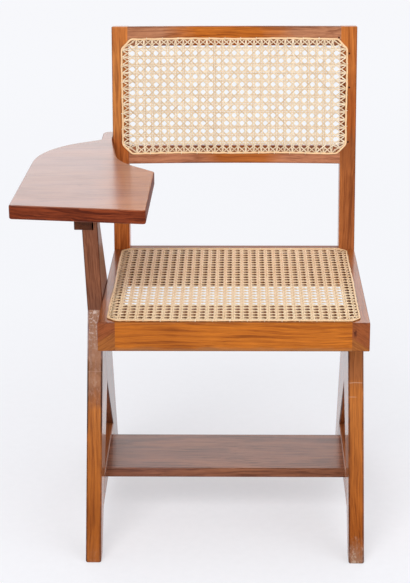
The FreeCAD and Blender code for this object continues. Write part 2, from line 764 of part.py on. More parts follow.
# Dowels across the two leg joints
left_joint_dowels = []
right_joint_dowels = []
for index, share in enumerate(("0.3", "0.7")):
    height = f"crotch_height + (join_height - crotch_height) * {share}"
    spot = ("left_leg_x + leg_thickness / 2",
            f"crotch_setback - post_slant * ({height} - crotch_height)", height)
    left_joint_dowels.append(dowel(f"left_joint_dowel_{index}", "floor", spot, slanting("joint_angle"),
                                   "dowel_diameter", "dowel_length"))
    height = f"crotch_height + ({under('crotch_setback')} - crotch_height) * (0.15 + {share} / 2)"
    spot = ("right_leg_x + leg_thickness / 2", "crotch_setback", height)
    right_joint_dowels.append(dowel(f"right_joint_dowel_{index}", "floor", spot, REARWARD,
                                    "dowel_diameter", "dowel_length"))
finish_group("leg_joint_dowels", [item[0] for item in left_joint_dowels + right_joint_dowels])

# Dowels in the stretchers' ends, and in the ends of the shelf between the stretchers
stretcher_dowels = {}
shelf_dowels = {}
for side, leg_x, face in (("left", "left_leg_x", "-half_width"), ("right", "right_leg_x", "right_leg_x")):
    middle = "stretcher_bottom + stretcher_height / 2"
    ends = {"front": f"foot_length - foot_overhang + front_leg_slant * ({middle})",
            "rear": f"rear_foot_setback - rear_leg_slant * ({middle})"}
    for end, setback in ends.items():
        stretcher_dowels[side, end] = dowel(
            f"{side}_{end}_stretcher_dowel", "floor", (f"{leg_x} + leg_thickness / 2", setback, middle),
            REARWARD, "dowel_diameter", "dowel_length")
    rows = {"front": "shelf_setback + shelf_dowel_margin",
            "rear": "shelf_setback + shelf_depth - shelf_dowel_margin"}
    for end, setback in rows.items():
        shelf_dowels[side, end] = dowel(
            f"{side}_{end}_shelf_dowel", "floor", (face, setback, "shelf_top - shelf_thickness / 2"),
            RIGHTWARD, "shelf_dowel_diameter", "shelf_dowel_length")
finish_group("stretcher_dowels", [item[0] for item in stretcher_dowels.values()])
finish_group("shelf_dowels", [item[0] for item in shelf_dowels.values()])

# The bearer's dowel into the post, and its screws up into the tablet
bearer_dowel = dowel("bearer_dowel_pin", "floor",
                     ("-bearer_inner - (leg_thickness - ear_thickness - bearer_gap) / 2",
                      "post_top_setback + post_top_length * 0.85", "bearer_under"),
                     UPWARD, "bearer_dowel_diameter", "bearer_dowel_length")
finish("bearer_dowel", bearer_dowel[0])
bearer_screws = []
for index in range(3):
    spot = ("-bearer_inner - bearer_width / 2",
            f"bearer_setback + bearer_length - bearer_screw_spacing * ({index} + 0.25)", "bearer_under")
    bearer_screws.append(screw(f"bearer_screw_{index}", "floor", spot, UPWARD, "bearer_screw_length"))
finish_group("bearer_screws", [item[0] for item in bearer_screws])
finish_group("bearer_plugs", [item[1] for item in bearer_screws])
bearer_screw_holes = [item[2] for item in bearer_screws]

# The post's shoulder, which leaves a thin ear beside the bearer
shoulder = block("post_shoulder", "floor", ("left_leg_x", "0", "bearer_under"),
                 ("leg_thickness - ear_thickness", "elbow_setback", "bearer_height + joint_clearance"))

leg_cuts = {
    "left_front_leg": [stretcher_dowels["left", "front"][1], *(item[1] for item in left_joint_dowels)],
    "left_rear_leg": [stretcher_dowels["left", "rear"][1], *(item[1] for item in left_joint_dowels),
                      *left_screw_holes, shoulder, bearer_dowel[1]],
    "right_front_leg": [stretcher_dowels["right", "front"][1], *(item[1] for item in right_joint_dowels),
                        *right_dowel_holes[:2]],
    "right_rear_leg": [stretcher_dowels["right", "rear"][1], *(item[1] for item in right_joint_dowels),
                       *right_dowel_holes[2:]],
}
for node, (leg_x, outline, joints, rounding) in LEGS.items():
    leg = pad_outline(node, "floor", "YZ_Plane", [outline], leg_x, "leg_thickness")
    soften(leg, rounding, clear_of(joints))
    soften(leg, f"{rounding} * foot_edge_share", lambda middle, way: same(middle.z, 0))
    finish(node, leg, cuts=leg_cuts[node])

for side, leg_x in (("left", "left_leg_x"), ("right", "right_leg_x")):
    node = f"{side}_stretcher"
    front_root = "foot_length - foot_overhang + front_leg_slant"
    rear_root = "rear_foot_setback - rear_leg_slant"
    outline = [(f"{front_root} * stretcher_bottom", "stretcher_bottom"),
               (f"{rear_root} * stretcher_bottom", "stretcher_bottom"),
               (f"{rear_root} * (stretcher_top)", "stretcher_top"),
               (f"{front_root} * (stretcher_top)", "stretcher_top")]
    bar = pad_outline(node, "floor", "YZ_Plane", [outline], leg_x, "leg_thickness")
    soften(bar, "edge_radius", lambda middle, way: same(abs(way.y), 1))
    holes = [dowels[side, end][1]
             for dowels in (stretcher_dowels, shelf_dowels) for end in ("front", "rear")]
    finish(node, bar, cuts=holes)

shelf = pad_outline("book_shelf", "floor", "YZ_Plane",
                    [rectangle("shelf_setback", "shelf_top - shelf_thickness",
                               "shelf_setback + shelf_depth", "shelf_top")],
                    "-half_width", "half_width + right_leg_x")
soften(shelf, "edge_radius", lambda middle, way: same(abs(way.x), 1))
finish("book_shelf", shelf, cuts=[item[1] for item in shelf_dowels.values()])


# Writing tablet: a skewed board with a curved neck, and a tongue that passes the left stile

inner_corner = ("tablet_inner_reach - half_width", "tablet_inner_setback")
neck_corner = ("neck_offset - half_width",
               "tablet_inner_setback + (tablet_inner_reach - neck_offset) * tan(neck_angle)")
neck_end = ("-half_width", "neck_end")
shoulder_corner = ("-half_width - shoulder_reach", "shoulder_setback")
tongue_corner = ("-half_width - tongue_width", "tongue_end")
front_left = ("-half_width - tablet_reach", "tablet_front_setback")
front_right = ("-half_width - tablet_reach + tablet_front_width",
               "tablet_front_setback - tablet_front_width * tan(tablet_front_skew)")


def upright_at(*corners):
    """A test for the upright edges at some of the outline's corners."""
    spots = [(value(x), value(y)) for x, y in corners]
    return lambda middle, way: same(abs(way.z), 1) and any(
        same(middle.x, x) and same(middle.y, y) for x, y in spots)


tablet = pad_outline("writing_tablet", "floor", "XY_Plane",
                     [[front_left, front_right, inner_corner, neck_corner, neck_end,
                       ("-half_width", "tongue_end"), tongue_corner,
                       ("-half_width - tongue_width", "tongue_root_setback"), shoulder_corner]],
                     "tablet_under", "tablet_thickness")
soften(tablet, "neck_radius", upright_at(neck_corner))
soften(tablet, "shoulder_radius", upright_at(shoulder_corner))
soften(tablet, "tongue_corner_radius", upright_at(tongue_corner))
soften(tablet, "tablet_corner_radius", upright_at(front_left, front_right, inner_corner, neck_end))
tablet_faces = (value("tablet_under"), value("tablet_height"))
soften(tablet, "tablet_edge_radius",
       lambda middle, way: any(same(middle.z, height) for height in tablet_faces))
finish("writing_tablet", tablet, cuts=[*tongue_screw_holes, *bearer_screw_holes])

bearer = pad_outline("tablet_bearer", "floor", "XY_Plane",
                     [rectangle("-bearer_inner - bearer_width", "bearer_setback", "-bearer_inner",
                                "bearer_setback + bearer_length")],
                     "bearer_under", "bearer_height")
bearer_low = value("bearer_under")
soften(bearer, "edge_radius", lambda middle, way: same(middle.z, bearer_low))
finish("tablet_bearer", bearer, cuts=[*bearer_screw_holes, bearer_dowel[1]])


# Every object must be whole before anything is written
doc.recompute()
for item in doc.Objects:
    if "Invalid" in item.State or "Error" in item.State:
        raise RuntimeError(f"{item.Label} could not be built: {item.getStatusString()}")
for piece in subparts:
    if piece.Shape.isNull() or not piece.Shape.isValid() or not piece.Shape.Solids:
        raise RuntimeError(f"{piece.Label} has no sound shape")

os.makedirs("parts", exist_ok=True)
for piece in subparts:
    piece.Shape.exportStep(f"parts/{piece.Label}.step")
    print(f"{piece.Label}: {len(piece.Shape.Solids)} solids, {piece.Shape.Volume / 1000:.1f} cm3")
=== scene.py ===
import math

import bpy
import numpy as np
from mathutils import Matrix, Vector


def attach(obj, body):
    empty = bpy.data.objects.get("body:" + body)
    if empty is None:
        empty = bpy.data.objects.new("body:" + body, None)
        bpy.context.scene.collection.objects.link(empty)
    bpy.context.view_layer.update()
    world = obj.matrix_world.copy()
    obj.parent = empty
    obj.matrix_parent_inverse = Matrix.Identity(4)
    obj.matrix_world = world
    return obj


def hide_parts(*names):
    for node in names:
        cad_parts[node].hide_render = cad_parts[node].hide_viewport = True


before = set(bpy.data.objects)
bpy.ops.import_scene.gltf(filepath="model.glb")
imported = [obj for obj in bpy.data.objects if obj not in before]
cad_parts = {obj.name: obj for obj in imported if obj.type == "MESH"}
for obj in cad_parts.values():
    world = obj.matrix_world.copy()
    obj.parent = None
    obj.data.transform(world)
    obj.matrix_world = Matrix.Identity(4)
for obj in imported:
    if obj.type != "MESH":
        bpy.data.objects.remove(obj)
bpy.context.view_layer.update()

# Writing chair in teak and hand-woven cane. Metres; the sitter faces -Y.

# Floor point below the middle of the seat's front top edge, and the two sloping frames that stand on it
ORIGIN = Vector((0.073893, -0.240509, 0.0))
SEAT_HEIGHT = 0.428
SEAT_DEPTH = 0.432
SEAT_SLOPE = math.radians(2.9)
RAIL_BOTTOM = -0.051
BACK_SETBACK = SEAT_DEPTH * math.cos(SEAT_SLOPE)
BACK_HEIGHT = SEAT_HEIGHT - SEAT_DEPTH * math.sin(SEAT_SLOPE)
BACK_RAKE = math.radians(9.5)
BOW_DEPTH = 0.013
BOW_RADIUS = 1.545

# Weave: spacing of the strand pairs, half the space inside a pair, strand size and how far strands rise
PITCH = 0.0147
PAIR_HALF_GAP = 0.00165
STRAND_WIDTH = 0.0023
STRAND_THICKNESS = 0.0006
PAIR_RISE = 0.00035
SLANT_RISE = 0.00075
WEAVE_HEIGHT = 0.00135

# Run of a strand: two sideways waves with their reach and radians per metre, the points along a pair and
# along a slant for each pitch of half its length, and the metres by which its fibres shift with its phase
WANDER = ((0.00016, 38), (0.00012, 95))
PAIR_STEPS = 16
SLANT_STEPS = 12
FIBRE_SHIFT = 0.7

# Ends of strands: how far from the end pairs and slants lean to a hole, how long the dip into it is and its
# height there, and the shortest slant that is woven
PAIR_FAN = 0.012
SLANT_FAN = 0.025
DIP_LENGTH = 0.006
DIP_HEIGHT = 0.0004
SHORTEST_SLANT = 0.012

# Binding strip, and the stitches over it
BINDING_WIDTH = 0.0036
BINDING_THICKNESS = 0.0013
BINDING_HEIGHT = 0.0012
BINDING_STEP = 0.0030
BINDING_TONE = 0.9
STITCH_WIDTH = 0.0017
STITCH_THICKNESS = 0.0004
STITCH_REACH = 0.0025
STITCH_RISE = 0.0024
STITCH_STEPS = 7

ALONG_X = Vector((1, 0, 0))
ALONG_Y = Vector((0, 1, 0))
UP = Vector((0, 0, 1))
ALONG_SEAT = Vector((0, math.cos(SEAT_SLOPE), -math.sin(SEAT_SLOPE)))
UP_BACK = Vector((0, math.sin(BACK_RAKE), math.cos(BACK_RAKE)))


def seat_point(across, along, height):
    """Point on the seat: along runs rearwards down the slope, height stands square to it."""
    return np.stack([
        ORIGIN.x + across,
        ORIGIN.y + along * math.cos(SEAT_SLOPE) + height * math.sin(SEAT_SLOPE),
        SEAT_HEIGHT - along * math.sin(SEAT_SLOPE) + height * math.cos(SEAT_SLOPE)], axis=-1)


def back_point(across, along, height):
    """Point on the back: along runs up the rake, height stands out to the sitter, and the middle lies
    deeper by bow - R + sqrt(R^2 - across^2)."""
    bow = np.maximum(0, BOW_DEPTH - BOW_RADIUS + np.sqrt(BOW_RADIUS ** 2 - across ** 2))
    depth = bow - height
    return np.stack([
        ORIGIN.x + across,
        ORIGIN.y + BACK_SETBACK + depth * math.cos(BACK_RAKE) + along * math.sin(BACK_RAKE),
        BACK_HEIGHT - depth * math.sin(BACK_RAKE) + along * math.cos(BACK_RAKE)], axis=-1)


class Panel:
    """A caned panel: the eight-sided line of its peg holes, which runs from low to high along it and has
    its corners cut, where its strand pairs lie, and the frame it is drawn in, which has its base point and
    the direction along it."""

    def __init__(self, name, point, base, way, half_width, low, high, corner, columns, rows):
        self.name = name
        self.point = point
        self.base = base
        self.way = way
        self.facing = ALONG_X.cross(way)
        self.half_width = half_width
        self.middle = (low + high) / 2
        self.half_height = (high - low) / 2
        self.corner = half_width + self.half_height - corner
        self.columns = columns
        self.rows = self.middle + rows
        self.holes = self.place_holes(corner)

    def place_holes(self, corner):
        """A hole for each pair on the four straight sides, and one in the middle of each cut corner."""
        across = self.columns[np.abs(self.columns) <= self.half_width - corner]
        along = self.rows[np.abs(self.rows - self.middle) <= self.half_height - corner]
        cut_x = self.half_width - corner / 2
        cut_y = self.half_height - corner / 2
        sides = [np.stack([across, np.full(len(across), self.middle + side * self.half_height)], axis=1)
                 for side in (-1, 1)]
        sides += [np.stack([np.full(len(along), side * self.half_width), along], axis=1)
                  for side in (-1, 1)]
        sides.append(np.array([(x * cut_x, self.middle + y * cut_y) for x in (-1, 1) for y in (-1, 1)]))
        return np.concatenate(sides)

    def pull_to_hole(self, ends):
        """The way from each strand's end to the nearest hole."""
        gap = self.holes[None] - ends[:, None]
        nearest = np.argmin(np.linalg.norm(gap, axis=2), axis=1)
        return gap[np.arange(len(ends)), nearest]


def stepped(count, pitch):
    """Evenly spaced places, centred on zero."""
    return (np.arange(count) - (count - 1) / 2) * pitch


SEAT = Panel("seat", seat_point, ORIGIN + Vector((0, 0, SEAT_HEIGHT)), ALONG_SEAT,
             half_width=0.2135, low=0.0080, high=0.4325, corner=0.0145,
             columns=stepped(27, 0.01495), rows=stepped(28, 0.0152))
BACK = Panel("back", back_point, ORIGIN + Vector((0, BACK_SETBACK, BACK_HEIGHT)), UP_BACK,
             half_width=0.2110, low=0.1850, high=0.4000, corner=0.0175,
             columns=stepped(26, PITCH), rows=stepped(13, PITCH))

# Sections of a strand and of the binding, as shares of width and thickness, anticlockwise from the right
STRAND_SECTION = np.array([(0.5, -0.1), (0.3, 0.5), (-0.3, 0.5), (-0.5, -0.1), (-0.34, -0.5), (0.34, -0.5)])
BINDING_SECTION = np.array([(0.5, 0.0), (0.44, 0.55), (0.2, 1.0), (-0.2, 1.0), (-0.44, 0.55), (-0.5, 0.0),
                            (-0.4, -0.3), (0.4, -0.3)])


def add_object(name, data):
    """A new object in the scene."""
    made = bpy.data.objects.new(name, data)
    bpy.context.scene.collection.objects.link(made)
    return made


def make_piece(name, points, quads, fibre, material, *nodes):
    """Puts points and four-sided faces into a smooth mesh. The attribute fibre holds each point's place
    across and along its strand and the strand's tone."""
    mesh = bpy.data.meshes.new(name)
    mesh.vertices.add(points.size // 3)
    mesh.vertices.foreach_set("co", points.astype(np.float32).ravel())
    mesh.loops.add(quads.size)
    mesh.loops.foreach_set("vertex_index", quads.astype(np.int32).ravel())
    mesh.polygons.add(len(quads))
    mesh.polygons.foreach_set("loop_start", np.arange(0, quads.size, 4, dtype=np.int32))
    mesh.polygons.foreach_set("use_smooth", np.ones(len(quads), dtype=bool))
    mesh.update(calc_edges=True)
    held = mesh.attributes.new("fibre", "FLOAT_VECTOR", "POINT")
    parts = np.stack(np.broadcast_arrays(*fibre), axis=-1)
    held.data.foreach_set("vector", parts.astype(np.float32).ravel())
    mesh.materials.append(material)
    piece = add_object(name, mesh)
    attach(piece, "root")
    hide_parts(*nodes)


def tube_quads(runs, steps, sides, closed):
    """Faces of a section of some sides carried along each run: one quad for each step and side, and for an
    open run a cap of two quads at each end of a six-sided section."""
    index = np.arange(runs * steps * sides).reshape(runs, steps, sides)
    here = index if closed else index[:, :-1]
    ahead = np.roll(index, -1, axis=1) if closed else index[:, 1:]
    quads = [np.stack([here, ahead, np.roll(ahead, -1, axis=2), np.roll(here, -1, axis=2)], axis=-1)]
    if not closed:
        first, last = index[:, 0], index[:, -1]
        quads += [first[:, [0, 1, 2, 3]], first[:, [0, 3, 4, 5]],
                  last[:, [3, 2, 1, 0]], last[:, [5, 4, 3, 0]]]
    return np.concatenate([q.reshape(-1, 4) for q in quads])


def weave_strands(panel, name, start, end, rise, fan, steps, material, node, seed):
    """Strands of one direction. A strand's section is carried along a straight run from start to end in the
    panel, which wanders a little sideways, rises and falls by the weave, and over the fan's length at both
    ends leans to the nearest peg hole and dips into it."""
    chance = np.random.default_rng(seed)
    runs = len(start)
    share = np.linspace(0, 1, steps)
    length = np.linalg.norm(end - start, axis=1)
    way = (end - start) / length[:, None]
    side = np.stack([way[:, 1], -way[:, 0]], axis=1)
    distance = share * length[:, None]
    phase = chance.uniform(0, 2 * math.pi, (runs, 2, 1))
    wander = sum(reach * np.sin(distance * waves + phase[:, k]) for k, (reach, waves) in enumerate(WANDER))
    line = start[:, None] + distance[..., None] * way[:, None] + wander[..., None] * side[:, None]
    for ends, reach in ((start, distance), (end, length[:, None] - distance)):
        line = line + np.clip(1 - reach / fan, 0, 1)[..., None] * panel.pull_to_hole(ends)[:, None]
    to_end = np.minimum(distance, length[:, None] - distance)
    free = np.clip(to_end / DIP_LENGTH, 0, 1)
    height = DIP_HEIGHT + (WEAVE_HEIGHT - DIP_HEIGHT) * free + rise(line[..., 0], line[..., 1]) * free
    width = STRAND_WIDTH * chance.uniform(0.9, 1.1, (runs, 1, 1))
    across = line[..., 0, None] + side[:, None, None, 0] * width * STRAND_SECTION[:, 0]
    along = line[..., 1, None] + side[:, None, None, 1] * width * STRAND_SECTION[:, 0]
    high = height[..., None] + STRAND_THICKNESS * STRAND_SECTION[:, 1]
    points = panel.point(across, along, high)
    tone = chance.uniform(0, 1, (runs, 1, 1))
    fibre = (STRAND_SECTION[:, 0], (distance + FIBRE_SHIFT * phase[:, 0])[..., None], tone)
    quads = tube_quads(runs, steps, len(STRAND_SECTION), False)
    make_piece(name, points, quads, fibre, material, node)


def in_pair(place, pairs):
    """How a strand moves through the pairs it crosses: a sine wave of one period at each pair and level
    between them, +1 at the pair's second strand and -1 at its first."""
    pitch = pairs[1] - pairs[0]
    from_pair = (place - pairs[0] + pitch / 2) % pitch - pitch / 2
    return np.sin(from_pair / PAIR_HALF_GAP * math.pi / 2) * (np.abs(from_pair) < 2 * PAIR_HALF_GAP)


def clipped_slants(panel, slope):
    """Runs across = t, along = c + slope t, one for each pitch, half a pitch off the crossings of the
    pairs, cut at the eight-sided hole line: |across| <= w, |along| <= h, |across| + |along| <= corner. A
    side that is nearly parallel to the runs doesn't cut them."""
    pitch_along = panel.rows[1] - panel.rows[0]
    steep = slope * pitch_along / (panel.columns[1] - panel.columns[0])
    count = 60
    nearly_parallel = 0.2
    offsets = panel.rows[0] - panel.middle + (np.arange(-count, count) + 0.5) * pitch_along
    offsets = offsets - steep * panel.columns[0]
    bounds = []
    for a, b in ((0.0, panel.half_height), (1.0, panel.corner), (-1.0, panel.corner)):
        slope_term = steep + a
        if abs(slope_term) < nearly_parallel:
            continue
        ends = np.stack([(-b - offsets) / slope_term, (b - offsets) / slope_term])
        bounds.append(np.sort(ends, axis=0))
    low = np.maximum(-panel.half_width, np.max([b[0] for b in bounds], axis=0))
    high = np.minimum(panel.half_width, np.min([b[1] for b in bounds], axis=0))
    keep = (high - low > SHORTEST_SLANT) & (np.abs(offsets) < panel.corner)
    low, high, offsets = low[keep], high[keep], offsets[keep]
    start = np.stack([low, panel.middle + offsets + steep * low], axis=1)
    end = np.stack([high, panel.middle + offsets + steep * high], axis=1)
    return start, end


def weave_panel(panel, material, node, seed):
    """Six-way cane: pairs along, pairs across, and two sets of slanting strands that cut the corners of
    every opening, so the openings are eight-sided."""
    def paired(pairs, middle, longest):
        """Both strands of each pair: the side they are on, their places, their half lengths up to the hole
        line, and the points along them."""
        side = np.tile([-1.0, 1.0], len(pairs))
        places = np.repeat(pairs, 2) + side * PAIR_HALF_GAP
        half = np.minimum(longest, panel.corner - np.abs(places - middle))
        return side[:, None], places, half, round(PAIR_STEPS * longest / PITCH)

    side, columns, half, steps = paired(panel.columns, 0, panel.half_height)
    start = np.stack([columns, panel.middle - half], axis=1)
    end = np.stack([columns, panel.middle + half], axis=1)
    weave_strands(panel, f"{panel.name}_cane_lengthwise", start, end,
                  lambda x, y: PAIR_RISE * side * in_pair(y, panel.rows), PAIR_FAN, steps,
                  material, node, seed)
    side, rows, half, steps = paired(panel.rows, panel.middle, panel.half_width)
    start = np.stack([-half, rows], axis=1)
    end = np.stack([half, rows], axis=1)
    weave_strands(panel, f"{panel.name}_cane_crosswise", start, end,
                  lambda x, y: -PAIR_RISE * side * in_pair(x, panel.columns), PAIR_FAN, steps,
                  material, node, seed + 1)
    column_pitch = panel.columns[1] - panel.columns[0]
    for slope, label in ((1, "rising"), (-1, "falling")):
        start, end = clipped_slants(panel, slope)
        steps = round(SLANT_STEPS * max(panel.half_height, 0.7 * panel.half_width) / PITCH)
        weave_strands(panel, f"{panel.name}_cane_{label}", start, end,
                      lambda x, y, s=slope: s * SLANT_RISE
                      * np.cos(2 * math.pi * (x - panel.columns[0]) / column_pitch),
                      SLANT_FAN, steps, material, node, seed + 3 + slope)


def hole_line(panel, spacing):
    """Points on the eight-sided hole line, evenly spaced, anticlockwise from the lower right, with the
    corners eased by a short moving average."""
    w, h, c = panel.half_width, panel.half_height, panel.corner
    corners = np.array([(c - h, -h), (w, w - c), (w, c - w), (c - h, h), (h - c, h), (-w, c - w),
                        (-w, w - c), (h - c, -h), (c - h, -h)])
    sides = np.linalg.norm(np.diff(corners, axis=0), axis=1)
    travelled = np.concatenate([[0], np.cumsum(sides)])
    count = round(travelled[-1] / spacing)
    places = np.arange(count) * travelled[-1] / count
    line = np.stack([np.interp(places, travelled, corners[:, k]) for k in (0, 1)], axis=1)
    eased = 0.5 * line + 0.25 * np.roll(line, 1, axis=0) + 0.25 * np.roll(line, -1, axis=0)
    return eased + np.array([0, panel.middle]), places


def ways_of(line):
    """Unit directions along a closed line, and outwards square to it."""
    way = np.roll(line, -1, axis=0) - np.roll(line, 1, axis=0)
    way = way / np.linalg.norm(way, axis=1, keepdims=True)
    return way, np.stack([way[:, 1], -way[:, 0]], axis=1)


def bind_edge(panel, material, node, seed):
    """Binding: a domed strip carried round the hole line, a little uneven in place and width."""
    line, places = hole_line(panel, BINDING_STEP)
    side = ways_of(line)[1]
    phase = np.random.default_rng(seed).uniform(0, 6.28, 4)
    turn = 2 * math.pi * places / (places[-1] + places[1])

    def wave(reach, count, which):
        """A sine of some waves in one round of the line."""
        return reach * np.sin(count * turn + phase[which])

    wander = wave(0.0005, 7, 0) + wave(0.0002, 41, 1)
    width = BINDING_WIDTH * (1 + wave(0.05, 23, 2) + wave(0.04, 58, 3))
    offset = wander[:, None] + width[:, None] * BINDING_SECTION[:, 0]
    lift = BINDING_HEIGHT + wave(0.0001, 31, 1)
    points = panel.point(line[:, 0, None] + side[:, 0, None] * offset,
                         line[:, 1, None] + side[:, 1, None] * offset,
                         lift[:, None] + BINDING_THICKNESS * BINDING_SECTION[:, 1])
    fibre = (BINDING_SECTION[:, 0], places[:, None], BINDING_TONE)
    quads = tube_quads(1, len(line), len(BINDING_SECTION), True)
    make_piece(f"{panel.name}_cane_edging", points, quads, fibre, material, node)


def stitch_edge(panel, material, node, seed):
    """Stitches that tie the binding down: at every second hole a flat strand arches over it, height
    = h sin(t)^(3/4), offset = -w cos(t)."""
    line = hole_line(panel, 2 * PITCH)[0]
    way, side = ways_of(line)
    bend = np.linspace(0, math.pi, STITCH_STEPS)
    offset = -STITCH_REACH * np.cos(bend)
    rise = DIP_HEIGHT + STITCH_RISE * np.sin(bend) ** 0.75
    middle = line[:, None] + offset[None, :, None] * side[:, None]
    spread = STITCH_WIDTH * STRAND_SECTION[:, 0]
    across = middle[..., 0, None] - way[:, None, None, 0] * spread
    along = middle[..., 1, None] - way[:, None, None, 1] * spread
    high = rise[None, :, None] + STITCH_THICKNESS * STRAND_SECTION[:, 1] + np.zeros_like(across)
    points = panel.point(across, along, high)
    tone = np.random.default_rng(seed).uniform(0, 1, (len(line), 1, 1))
    fibre = (STRAND_SECTION[:, 0], bend[None, :, None] * 0.002, tone)
    quads = tube_quads(len(line), STITCH_STEPS, len(STRAND_SECTION), False)
    make_piece(f"{panel.name}_cane_stitches", points, quads, fibre, material, node)


def paint(red, green, blue):
    """A colour as a paint chart gives it, 0 to 255, in Blender's linear values."""
    share = np.array([red, green, blue]) / 255
    linear = np.where(share <= 0.04045, share / 12.92, ((share + 0.055) / 1.055) ** 2.4)
    return (*(float(v) for v in linear), 1.0)


class Nodes:
    """A node tree, with short ways to add nodes to it."""

    def __init__(self, tree):
        self.tree = tree

    def add(self, kind, settings=None, **inputs):
        node = self.tree.nodes.new(kind)
        for key, value in (settings or {}).items():
            setattr(node, key, value)
        self.fill(node, inputs)
        return node

    def fill(self, node, inputs):
        """Sets or links a node's inputs by name, where an underscore stands for a space."""
        for key, value in inputs.items():
            self.set(node.inputs[key.replace("_", " ")], value)

    def set(self, socket, value):
        if isinstance(value, bpy.types.NodeSocket):
            self.tree.links.new(value, socket)
        else:
            socket.default_value = value

    def sums(self, operation, first, second, third=0.0):
        node = self.tree.nodes.new("ShaderNodeMath")
        node.operation = operation
        for socket, value in zip(node.inputs, (first, second, third)):
            self.set(socket, value)
        return node.outputs[0]

    def times(self, first, second):
        return self.sums("MULTIPLY", first, second)

    def size(self, value):
        """A value without its sign."""
        return self.sums("ABSOLUTE", value, 0.0)

    def raised(self, value, share, amount):
        """A value plus an amount times a share."""
        return self.sums("MULTIPLY_ADD", share, amount, value)

    def moved(self, value, noise, reach):
        """A value moved to and fro by a noise about its middle."""
        return self.raised(value, self.sums("SUBTRACT", noise, 0.5), reach)

    def vectors(self, operation, first, second):
        node = self.tree.nodes.new("ShaderNodeVectorMath")
        node.operation = operation
        self.set(node.inputs[0], first)
        self.set(node.inputs[1], second)
        return node.outputs[0]

    def along(self, vector, way):
        """How far a vector goes in a direction."""
        node = self.add("ShaderNodeVectorMath", {"operation": "DOT_PRODUCT"})
        self.set(node.inputs[0], vector)
        node.inputs[1].default_value = way
        return node.outputs["Value"]

    def length(self, vector):
        return self.add("ShaderNodeVectorMath", {"operation": "LENGTH"}, Vector=vector).outputs["Value"]

    def place(self):
        """A point's place on the object."""
        return self.add("ShaderNodeTexCoord").outputs["Object"]

    def split(self, vector):
        return self.add("ShaderNodeSeparateXYZ", Vector=vector).outputs

    def tint(self, share, colour, red, green, blue):
        """The colour with each part multiplied, over a share."""
        return self.blend(share, colour, (red, green, blue, 1.0), "MULTIPLY")

    def stretched(self, vector, along, across):
        return self.vectors("MULTIPLY", vector, (along, across, across))

    def noise(self, vector, scale=1.0, detail=2.0, roughness=0.5):
        return self.add("ShaderNodeTexNoise", Vector=vector, Scale=scale, Detail=detail,
                        Roughness=roughness)

    def patches(self, vector, scale, detail, roughness):
        """Noise of the same scale in every direction."""
        return self.noise(vector, scale, detail, roughness).outputs["Fac"]

    def grain(self, vector, scales, detail, roughness):
        """Noise with a scale for each direction."""
        return self.patches(self.vectors("MULTIPLY", vector, scales), 1, detail, roughness)

    def fade(self, value, low, high, out_low=0.0, out_high=1.0):
        """A value carried from one range to another and held at its ends."""
        return self.add("ShaderNodeMapRange", Value=value, From_Min=low, From_Max=high, To_Min=out_low,
                        To_Max=out_high).outputs[0]

    def blend(self, share, first, second, how="MIX"):
        node = self.tree.nodes.new("ShaderNodeMix")
        node.data_type = "RGBA"
        node.blend_type = how
        self.set(node.inputs[0], share)
        self.set(node.inputs[6], first)
        self.set(node.inputs[7], second)
        return node.outputs[2]

    def ramp(self, value, *stops):
        node = self.add("ShaderNodeValToRGB", Fac=value)
        band = node.color_ramp.elements
        band[0].position, band[0].color = stops[0]
        band[1].position, band[1].color = stops[-1]
        for position, colour in stops[1:-1]:
            band.new(position).color = colour
        return node.outputs["Color"]


class Finish(Nodes):
    """The nodes of a new material."""

    def __init__(self, name):
        self.material = bpy.data.materials.new(name)
        self.material.use_nodes = True
        super().__init__(self.material.node_tree)
        self.shader = self.tree.nodes["Principled BSDF"]

    def surface(self, **inputs):
        self.fill(self.shader, inputs)


def shade(colour, red, green, blue):
    """A colour with each part multiplied."""
    return (colour[0] * red, colour[1] * green, colour[2] * blue, 1.0)


# Colours of wear, with a painted highlight of floor light in the rubbed edge; how squarely a face has to
# look along a direction to count; the depths behind a panel's plane between which a face stops counting as
# near it; and the share by which a face looks to the front
BARE_FOOT = paint(146, 112, 90)
FOOT_SCUFF = paint(196, 172, 152)
MEND = paint(142, 102, 79)
MEND_STREAK = paint(178, 142, 122)
MEND_FLECK = paint(220, 200, 188)
MEND_EDGE = paint(206, 180, 168)
MEND_LINE = paint(204, 168, 146)
SCRATCH = paint(206, 168, 140)
RUBBED_AND_LIT_EDGE = paint(146, 104, 66)
LOWER_END_GRAIN = paint(156, 92, 37)
UPPER_END_GRAIN = paint(141, 73, 34)
SQUARELY = (0.6, 0.95)
NEAR_PLANE = (-0.019, -0.015)
FRONTWARDS = (0.5, 0.8)


